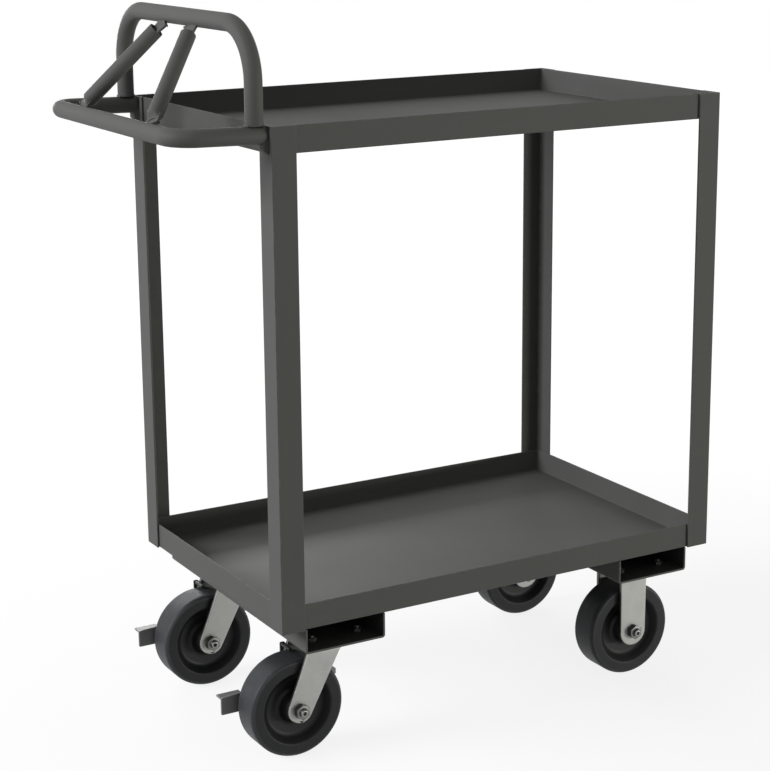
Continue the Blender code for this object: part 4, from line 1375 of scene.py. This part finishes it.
@dataclass
class SwivelCaster:
    """A swivel caster: plate, ball race, king pin and the leaning fork that turns under them."""

    side: Side
    thickness: float = 0.006
    lead: float = 0.052
    arm_top: float = 0.028
    arm_shift: float = 0.0075
    arm_end: float = 0.0195
    crown_half: float = 0.037
    bend: float = 0.0055
    edge: float = 0.0011
    fade: float = 0.002
    plate_edge: float = 0.0008
    plate_corner: float = 0.008
    plate_grime: float = 0.8
    race: float = 0.037
    cup_edge: float = 0.0014
    groove: float = 0.0032
    groove_half: float = 0.0006
    groove_edge: float = 0.0004
    pin: float = 0.008
    pin_nut: float = 0.0135
    pin_nut_height: float = 0.008
    pin_pitch: float = 0.0015
    pin_edge: float = 0.0008
    pin_crest: float = 0.98
    thread_end: float = 0.003
    top_gap: float = 0.0015
    foot_share: float = 0.28
    crown_share: float = 0.25
    shoulder_share: float = 1.6
    grease_drop: float = 0.3
    skim: float = 0.0003

    def build(self) -> None:
        """Builds every piece of the caster."""
        self.name = f"swivel_{self.side.word}"
        plate = f"plate_{self.name}"
        low, high = box(plate)
        self.centre = np.array([*middle(plate)[:2], 0])
        self.swivel = Spindle(self.centre, Axis.Z)
        outline = Outline.rectangle(low[:2], high[:2], self.plate_corner, 8)
        piece = Piece("pressed", plate, ZINC)
        piece.plate(outline, low[2], high[2], self.plate_edge, Axis.Z)
        # painted shade on the plate's underside and edges
        piece.made(lambda points: self.plate_grime * (points[:, 2] < high[2] - self.skim))
        self._race()
        self._king_pin()
        self._fork()
        Wheel(self.name).build()
        Brake(self.side).build()

    def _race(self) -> None:
        """Two pressed cups with the ball groove between them, turned about the king pin."""
        node = f"race_{self.name}"
        low, high = self.swivel.span(node)
        mid, outer, bore = (low + high) / 2, self.race, self.pin + self.skim
        half, edge, cup = self.groove_half, self.groove_edge, self.cup_edge
        profile = Outline.through([
            (bore, high, self.skim), (outer, high, cup), (outer, mid + half, edge),
            (outer - self.groove, mid, half), (outer, mid - half, edge), (outer, low, cup),
            (bore, low, self.skim),
        ], 4)
        Piece("turned", node, ZINC).skin(*self.swivel.lathe(profile, 72), looped=True).made()

    def _king_pin(self) -> None:
        """The pin with its hex nut and thread under the crown."""
        node = f"kingpin_{self.name}"
        low, high = self.swivel.span(node)
        nut, pin, edge = low + self.thread_end, self.pin, self.pin_edge
        piece = Piece("threaded", node, STEEL)
        piece.skin(self.swivel.hexagon(self.pin_nut, nut, nut + self.pin_nut_height))
        shank_end = nut + 2 * SHANK_SUNK
        shank = [(pin / 4, high), (pin - edge, high), (pin, high - edge), (pin, shank_end)]
        piece.skin(self.swivel.spun(shank, 32))
        crest = pin * self.pin_crest
        piece.skin(self.swivel.thread(crest, self.pin_pitch, nut + THREAD_SUNK, low)).made()

    def _fork(self) -> None:
        """One pressed strip: crown, two shoulders and two arms that lean to the axle.

        Formula: s runs along the strip's middle line from one arm's end over the crown to the
        other's, z and y follow it through two quarter bends. The strip's two edges are the arm's
        outline at that height, blended over the shoulder into the crown's straight sides. Rings
        inset from that developed outline are laid on the bent strip at their depth.
        """
        node = f"fork_{self.name}"
        low, high = box(node)
        half_t = self.thickness / 2
        top, arm_y = high[2] - half_t, (high[1] - low[1]) / 2 - half_t
        arm = self._arm_outline(middle(f"wheel_{self.name}")[2], high[2] - self.top_gap)
        flat, quarter = arm_y - self.bend, QUARTER * self.bend
        turned_end = flat + quarter
        drop = top - self.bend - (arm[:, 1].min() + WELD)
        near_end = 1 - np.cos(np.linspace(QUARTER, 0, 26))
        s = np.concatenate([
            np.linspace(0, flat, 8)[:-1], np.linspace(flat, turned_end, 9)[:-1],
            turned_end + drop * np.linspace(0, 1 - self.foot_share, 14)[:-1],
            turned_end + drop - drop * self.foot_share * near_end,
        ])
        s = np.concatenate([-s[:0:-1], s])
        left, right = self._edges(arm, self._height(np.abs(s), flat, top))
        shoulder = flat * self.crown_share, flat + quarter * self.shoulder_share
        blend = smooth_step(*shoulder, np.abs(s))
        left = -self.crown_half + (left + self.crown_half) * blend
        right = self.crown_half + (right - self.crown_half) * blend
        edge = np.concatenate([np.stack([left, s], 1), np.stack([right, s], 1)[::-1]])
        along = np.roll(edge, -1, 0) - np.roll(edge, 1, 0)
        outward = unit(np.stack([along[:, 1], -along[:, 0]], 1))
        if not anticlockwise(edge):
            outward = -outward
        inset, depth, worn, _ = edge_levels(-half_t, half_t, self.edge, self.fade).T
        spine = np.stack([(left + right) / 2, s], 1)
        spine = np.concatenate([spine, spine[::-1]])[None]
        rings = np.concatenate([spine, edge - outward * inset[:, None, None], spine])
        depth = np.concatenate([[-half_t], depth, [half_t]])
        wear = np.concatenate([[0], worn, [0]])[:, None]
        strip = self._bent(rings, depth, flat, top) + self.centre
        # painted shade on the fork's edges and on the inner faces of its arms
        under = high[2] - self.thickness - self.bend * self.grease_drop
        Piece("pressed", node, ZINC).skin(strip, wear, capped=False).made(
            lambda points: greasy_arms(
                points, self.centre[1], arm_y + half_t, self.thickness, self.edge, under
            )
        )

    def _arm_outline(self, axle_z: float, top: float) -> Array:
        """The leaning bar in XZ: straight across its top, round about the axle.

        Args:
            axle_z: height of the axle.
            top: height of the bar's top.

        Returns:
            The outline's points as (count, 2).
        """
        head, axle = np.array([-self.arm_shift, top]), np.array([-self.lead, axle_z])
        down = unit(axle - head)
        across = np.array([-down[1], down[0]]) * self.arm_end
        low, soft = axle + down * self.arm_end, self.arm_end * ROUND_SHARE
        return Outline.through([
            (head[0] - self.arm_top, top, 0), (*(low - across), soft), (*(low + across), soft),
            (head[0] + self.arm_top, top, 0),
        ], 24).points

    @staticmethod
    def _edges(arm: Array, height: Array) -> tuple[Array, Array]:
        """The arm's two edges, on its outline's two runs from foot to top.

        Args:
            arm: the outline's points.
            height: heights to look at.

        Returns:
            The smaller and the larger x at each height.
        """
        arm = np.roll(arm, -int(np.argmin(arm[:, 1])), 0)
        peak = int(np.argmax(arm[:, 1]))
        found = []
        for run in (arm[: peak + 1], np.concatenate([arm[peak:], arm[:1]])[::-1]):
            x, z = run[np.argsort(run[:, 1], kind="stable")].T
            found.append(np.interp(height, z, x))
        return np.minimum(*found), np.maximum(*found)

    def _height(self, s: Array, flat: float, top: float) -> Array:
        """Height of the strip's middle line: level, through the bend, then straight down.

        Args:
            s: distances from the middle of the crown.
            flat: half length of the crown's level part.
            top: height of the level part.

        Returns:
            The heights.
        """
        turn = np.clip((s - flat) / self.bend, 0, QUARTER)
        down = np.maximum(s - flat - QUARTER * self.bend, 0)
        return top - self.bend * (1 - np.cos(turn)) - down

    def _bent(self, rings: Array, depth: Array, flat: float, top: float) -> Array:
        """Lays developed rings on the bent strip.

        Args:
            rings: (x, s) points as (rings, points, 2).
            depth: how far out from the strip's middle line each ring lies.
            flat: half length of the crown's level part.
            top: height of the middle line there.

        Returns:
            Rings as (rings, points, 3).
        """
        x, s = rings[..., 0], rings[..., 1]
        far = np.abs(s)
        turn = np.clip((far - flat) / self.bend, 0, QUARTER)
        y = np.minimum(far, flat) + (self.bend + depth[:, None]) * np.sin(turn)
        z = self._height(far, flat, top) + depth[:, None] * np.cos(turn)
        return np.stack([x, np.sign(s) * y, z], -1)


@dataclass
class Brake:
    """A rocking lever outside the far arm: pedal, tail and a shoe over the tread."""

    side: Side
    thickness: float = 0.003
    edge: float = 0.0005
    corner: float = 0.002
    arm: float = 0.012
    eye: float = 0.014
    pedal_tip: float = 0.117
    pedal_length: float = 0.037
    pedal_top: float = 0.026
    pedal_drop: float = 0.053
    pedal_flange: float = 0.0175
    tail_tip: float = 0.077
    tail_drop: float = 0.019
    tail_height: float = 0.010
    tail_flange: float = 0.012
    tail_trim: float = 0.0002
    shoe_angle: float = math.radians(85.5)
    shoe_length: float = 0.005
    shoe_thickness: float = 0.004
    shoe_gap: float = 0.0021
    shoe_start: float = 0.008
    shoe_edge: float = 0.001
    pivot: tuple[float, float] = (0.020, 0.041)
    pin: float = 0.004
    pin_apothem: float = 0.0065
    pin_head: float = 0.005
    pin_edge: float = 0.1
    wheel: float = 0.0762
    root: float = 0.006
    inner_fold: float = 0.0012
    pedal_fold: float = 0.0030
    tail_fold: float = 0.0028
    fade: float = 0.0008
    grime_from: float = 0.004
    grime_to: float = 0.016
    skim: float = 0.0003

    def build(self) -> None:
        """Cuts the web, folds the pedal, the tail and the shoe off it, and sets the pin."""
        name = f"swivel_{self.side.word}"
        node, self.axle = f"brake_{name}", middle(f"wheel_{name}")
        self.px, self.pz = self.axle[0] + self.pivot[0], self.axle[2] + self.pivot[1]
        self.fork_y = box(f"fork_{name}")[1][1]
        self.face = self.fork_y + self.skim
        turn = self.shoe_angle
        radius = self.wheel + self.shoe_gap + self.shoe_thickness / 2
        shoe = np.array([radius * math.cos(turn), radius * math.sin(turn)]) - self.pivot
        edge, arm = self.corner, self.arm
        inner = self.pedal_length - self.pedal_tip
        lean = self.shoe_length / 2 + self.shoe_edge
        shoe_top = shoe[1] + self.shoe_thickness / 2 + self.shoe_edge
        web = [
            (-self.pedal_tip, -self.pedal_drop, edge), (inner, -self.pedal_drop, 2 * edge),
            (inner + arm, -self.pedal_top, arm / 2), (-arm, -self.eye, arm),
            (self.eye, -self.eye, arm), (self.tail_tip, -self.tail_drop - self.tail_height, edge),
            (self.tail_tip, -self.tail_drop, edge), (self.eye, self.eye, arm),
            (shoe[0] + lean, shoe_top, edge), (shoe[0] - lean, shoe_top, edge),
            (shoe[0] - lean, -arm / 2, arm / 2), (inner, -self.pedal_top + arm / 4, arm / 2),
            (-self.pedal_tip, -self.pedal_top, edge),
        ]
        corners = [(self.px + a, self.pz + b, r) for a, b, r in web]
        piece = Piece("folded", node, LEVER)
        outline, back = Outline.through(corners, 6, self.fade), self.face + self.thickness
        piece.plate(outline, self.face, back, self.edge, Axis.Y, fade=0.0006)
        self._pedal(piece)
        self._tail(piece)
        self._shoe(piece, shoe + (self.px, self.pz))
        # painted shade on the lever, darker above the pivot towards the shoe
        lever_shade = self.pz + self.grime_from, self.pz + self.grime_to
        piece.made(lambda points: smooth_step(*lever_shade, points[:, 2]))
        self._pin(f"brake_pin_{name}")

    def _pedal(self, piece: Piece) -> None:
        """The pedal's level flange, folded outwards along the top of the web.

        Args:
            piece: the lever.
        """
        reach, thick, skim = self.thickness / 2 + self.pedal_flange, self.thickness, self.skim
        fold = Outline.through([
            (skim, -self.root, skim), (thick, -self.root, skim), (thick, -thick, self.inner_fold),
            (reach, -thick, self.edge), (reach, 0, self.edge), (skim, 0, self.pedal_fold),
        ], 5, self.fade)
        start, foot = self.px - self.pedal_tip, (0, self.face, self.pz - self.pedal_top - skim)
        end = start + self.pedal_length
        piece.plate(fold, start + skim, end, self.edge, Axis.X, 0.0, foot)

    def _tail(self, piece: Piece) -> None:
        """The tail's upright flange, folded outwards at the lever's other end.

        Args:
            piece: the lever.
        """
        face, thick, skim = self.face, self.thickness, self.skim
        x, reach = self.px + self.tail_tip - skim, face + thick / 2 + self.tail_flange
        root, inner = x - self.root, x - thick
        fold = Outline.through([
            (root, face + skim, skim), (x, face + skim, self.tail_fold), (x, reach, self.edge),
            (inner, reach, self.edge), (inner, face + thick, self.inner_fold),
            (root, face + thick, skim),
        ], 5, self.fade)
        low = self.pz - self.tail_drop - self.tail_height + self.tail_trim
        high = low + self.tail_height - 2 * self.tail_trim
        piece.plate(fold, low, high, self.edge, Axis.Z, 0.0)

    def _shoe(self, piece: Piece, spot: Array) -> None:
        """The shoe: a bar over the tread, square to the wheel's spoke at its angle.

        Args:
            piece: the lever.
            spot: the bar's middle in XZ.
        """
        out = np.array([math.cos(self.shoe_angle), math.sin(self.shoe_angle)])
        along = np.array([out[1], -out[0]]) * self.shoe_length / 2
        out = out * self.shoe_thickness / 2
        signs = ((-1, -1), (1, -1), (1, 1), (-1, 1))
        corners = [(*(spot + along * a + out * b), 2 * self.skim) for a, b in signs]
        start = self.face - (self.fork_y - self.axle[1]) + self.shoe_start
        bar, end = Outline.through(corners, 3, self.fade), self.face + self.thickness / 2
        piece.plate(bar, start, end, self.edge, Axis.Y, 0.0)

    def _pin(self, node: str) -> None:
        """The pivot: a plain pin with a hex head outside the lever.

        Args:
            node: the pin's node.
        """
        pivot = Spindle((self.px, 0, self.pz), Axis.Y)
        (low, high), pin, edge = pivot.span(node), self.pin, self.pin * self.pin_edge
        piece = Piece("turned", node, STEEL)
        piece.skin(pivot.hexagon(self.pin_apothem, high - self.pin_head, high))
        shank = [(pin - edge, low), (pin, low + edge), (pin, high - SHANK_SUNK)]
        piece.skin(pivot.spun(shank, 24)).made()


@dataclass
class RigidCaster:
    """A rigid caster: one bracket of a plate and two straight arms, and its wheel."""

    side: Side
    thickness: float = 0.006
    plate_edge: float = 0.0008
    plate_corner: float = 0.008
    arm_top: float = 0.025
    arm_end: float = 0.024
    arm_in: float = 0.003
    edge: float = 0.0011
    bead: float = 0.0022
    bead_down: float = 0.3
    bead_out: float = 0.2
    bead_ends: float = 0.002
    clearance: float = 0.0003

    def build(self) -> None:
        """Builds the bracket and the wheel."""
        name = f"rigid_{self.side.word}"
        node = f"bracket_{name}"
        low, high = box(node)
        x, y, z = middle(f"wheel_{name}")
        under = high[2] - self.thickness
        piece = Piece("pressed", node, ZINC)
        outline = Outline.rectangle(low[:2], high[:2], self.plate_corner, 8)
        piece.plate(outline, under, high[2], self.plate_edge, Axis.Z)
        foot, top, radius = z - self.arm_end, under + self.arm_in, self.arm_end * ROUND_SHARE
        arm = Outline.through([
            (x - self.arm_top, top, 0), (x - self.arm_end, foot, radius),
            (x + self.arm_end, foot, radius), (x + self.arm_top, top, 0),
        ], 24)
        gap = box(f"bushing_{name}")[1][1] - y + self.clearance
        half, bead_z = self.arm_top - self.bead_ends, under - self.bead * self.bead_down
        for way in (-1, 1):
            faces = sorted((y + way * gap, y + way * (gap + self.thickness)))
            piece.plate(arm, *faces, self.edge, Axis.Y)
            at = y + way * (gap + self.thickness) + way * self.bead * self.bead_out
            piece.bead((x - half, at, bead_z), (x + half, at, bead_z), self.bead)
        # painted shade on the bracket's edges and on the inner faces of its arms
        piece.made(
            lambda points: greasy_arms(
                points, y, gap + self.thickness, self.thickness, self.edge, under + 0.001
            )
        )
        Wheel(name).build()


@dataclass
class MountingBolt:
    """One of the bolts that hold a caster plate: head below, nut and thread end in the channel."""

    node: str
    radius: float = 0.004
    apothem: float = 0.0065
    head: float = 0.005
    nut: float = 0.0065
    stud: float = 0.003
    pitch: float = 0.00125
    shank: float = 0.97

    def build(self) -> None:
        """Sets head, shank, nut and thread on one axis."""
        line = Spindle((*middle(self.node)[:2], 0), Axis.Z)
        low, high = line.span(self.node)
        over = high - self.stud - self.nut
        piece = Piece("threaded", self.node, SHADED_STEEL)
        piece.skin(line.hexagon(self.apothem, low, low + self.head))
        piece.skin(line.hexagon(self.apothem, over, over + self.nut))
        thin = self.radius * self.shank
        piece.skin(line.spun([(thin, low + THREAD_SUNK / 2), (thin, over + THREAD_SUNK)], 20))
        start = over + self.nut - THREAD_SUNK
        piece.skin(line.thread(self.radius, self.pitch, start, high)).made()


# ---------------------------------------------------------------- studio


@dataclass(frozen=True)
class Lamp:
    """A soft lamp: where it hangs, what it is aimed at, its width and height, and its power."""

    name: str
    place: Triple
    aim: Triple
    size: tuple[float, float]
    watts: float
    tint: Triple

    def build(self) -> None:
        """Hangs the lamp and turns it to its aim."""
        data = bpy.data.lights.new(self.name, "AREA")
        data.shape, data.energy, data.color = "RECTANGLE", self.watts, self.tint
        data.size, data.size_y = self.size
        lamp = bpy.data.objects.new(self.name, data)
        lamp.location = self.place
        way = Vector(self.aim) - Vector(self.place)
        lamp.rotation_euler = way.to_track_quat("-Z", "Y").to_euler()
        bpy.context.scene.collection.objects.link(lamp)


@dataclass
class Studio:
    """A pale floor, soft lamps, a white surround and the photograph's camera."""

    eye: Triple = (-1.488, -2.5956, 1.2774)
    turn: Triple = (76.7205, 0.4902, -29.9307)
    lens: float = 91.46
    shift: float = -0.06
    floor_half: float = 7.0
    floor_white: float = 0.34
    floor_pale: float = 0.90
    floor_glow: float = 1.06
    floor_share: float = 0.80
    floor_rough: float = 0.9
    shadow_reach: tuple[float, float] = (0.8, 2.2)
    clip: tuple[float, float] = (0.05, 60.0)
    ambient: float = 0.21
    lamps: tuple[Lamp, ...] = field(default_factory=lambda: (
        Lamp("key", (-5.8, 1.1, 3.2), (0.0, 0.0, 0.6), (3.4, 2.6), 345.0, (0.97, 0.99, 1.0)),
        Lamp("front", (5.0, -5.8, 0.25), (-4.5, 0.0, 0.5), (2.8, 0.44), 240.0, (1.0, 1.0, 0.92)),
        Lamp("back", (0.4, 3.0, 1.0), (0.0, 0.0, 0.25), (2.0, 0.4), 45.0, (1.0, 1.0, 1.0)),
    ))

    def build(self) -> None:
        """Sets the view, and builds camera, lamps, floor and surround."""
        scene = bpy.context.scene
        scene.view_settings.view_transform = "Standard"
        data = bpy.data.cameras.new("camera")
        data.lens, data.shift_y = self.lens, self.shift
        data.clip_start, data.clip_end = self.clip
        camera = bpy.data.objects.new("camera", data)
        camera.location = self.eye
        camera.rotation_euler = Euler([math.radians(angle) for angle in self.turn])
        scene.collection.objects.link(camera)
        scene.camera = camera
        for lamp in self.lamps:
            lamp.build()
        self._floor()
        self._surround()

    @staticmethod
    def _seen(net: Net) -> Socket:
        """1 where the camera, a reflection or a view through glass looks, and 0 for soft light.

        Args:
            net: the net of the floor's or the surround's tree.

        Returns:
            The share.
        """
        path = net.node("LightPath").outputs
        both = net.maths("MAXIMUM", path["Is Camera Ray"], path["Is Glossy Ray"])
        return net.maths("MAXIMUM", both, path["Is Transmission Ray"])

    def _floor(self) -> None:
        """A wide pale floor with the cart's soft shadow.

        Where it is seen, its pale diffuse is mixed with a glow, so that it reads as white and the
        shadow stays soft; past the cart's reach only the glow is left. Its bounce is a mid grey.
        """
        half = self.floor_half
        mesh = bpy.data.meshes.new("floor")
        square = [(-half, -half, 0), (half, -half, 0), (half, half, 0), (-half, half, 0)]
        mesh.from_pydata(square, [], [[0, 1, 2, 3]])
        material = bpy.data.materials.new("pale floor")
        material.use_nodes = True
        tree = material.node_tree
        net, shader = Net(tree), tree.nodes["Principled BSDF"]
        seen = self._seen(net)
        colour = net.mixed(seen, (*(self.floor_white,) * 3, 1), (*(self.floor_pale,) * 3, 1))
        tree.links.new(colour, shader.inputs["Base Color"])
        shader.inputs["Roughness"].default_value = self.floor_rough
        shader.inputs["Specular IOR Level"].default_value = 0.0
        away = net.node("VectorMath", {0: net.spot()}, operation="LENGTH").outputs["Value"]
        level = net.ranged(
            away, self.floor_share, 1.0, *self.shadow_reach, interpolation_type="SMOOTHSTEP"
        )
        share = net.maths("MULTIPLY", seen, level)
        glow = net.node("Emission", {"Color": WHITE, "Strength": self.floor_glow})
        mixed = net.node("MixShader", {0: share, 1: shader.outputs[0], 2: glow.outputs[0]})
        tree.links.new(mixed.outputs[0], tree.nodes["Material Output"].inputs["Surface"])
        mesh.materials.append(material)
        floor = bpy.data.objects.new("floor", mesh)
        bpy.context.scene.collection.objects.link(floor)

    def _surround(self) -> None:
        """A world that lights softly and shows near-white to the camera and in reflections."""
        world = bpy.data.worlds.new("surround")
        bpy.context.scene.world = world
        world.use_nodes = True
        world.node_tree.nodes.clear()
        net = Net(world.node_tree)
        soft, shown = (
            net.node("Background", {"Color": WHITE, "Strength": strength}).outputs[0]
            for strength in (self.ambient, 1.0)
        )
        mixed = net.node("MixShader", {0: self._seen(net), 1: soft, 2: shown})
        net.node("OutputWorld", {0: mixed.outputs[0]})


def main() -> None:
    """Builds the whole cart, part by part, and the studio."""
    logging.basicConfig(level=logging.INFO, format="%(message)s")
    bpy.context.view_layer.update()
    for end in ("handle", "front"):
        for side in Side:
            AngleLeg(end, side).build()
        CasterChannel(end).build()
        for number in range(1, 9):
            MountingBolt(f"bolt_{end}_{number}").build()
    # painted shade on each shelf's end lips, outer faces
    for node, lip_shade in (("shelf_lower", 0.05), ("shelf_upper", 0.38)):
        Shelf(node, end_scuff=lip_shade).build()
    Handle().build()
    for side in Side:
        SwivelCaster(side).build()
        RigidCaster(side).build()
    Studio().build()


if __name__ == "__main__":
    main()
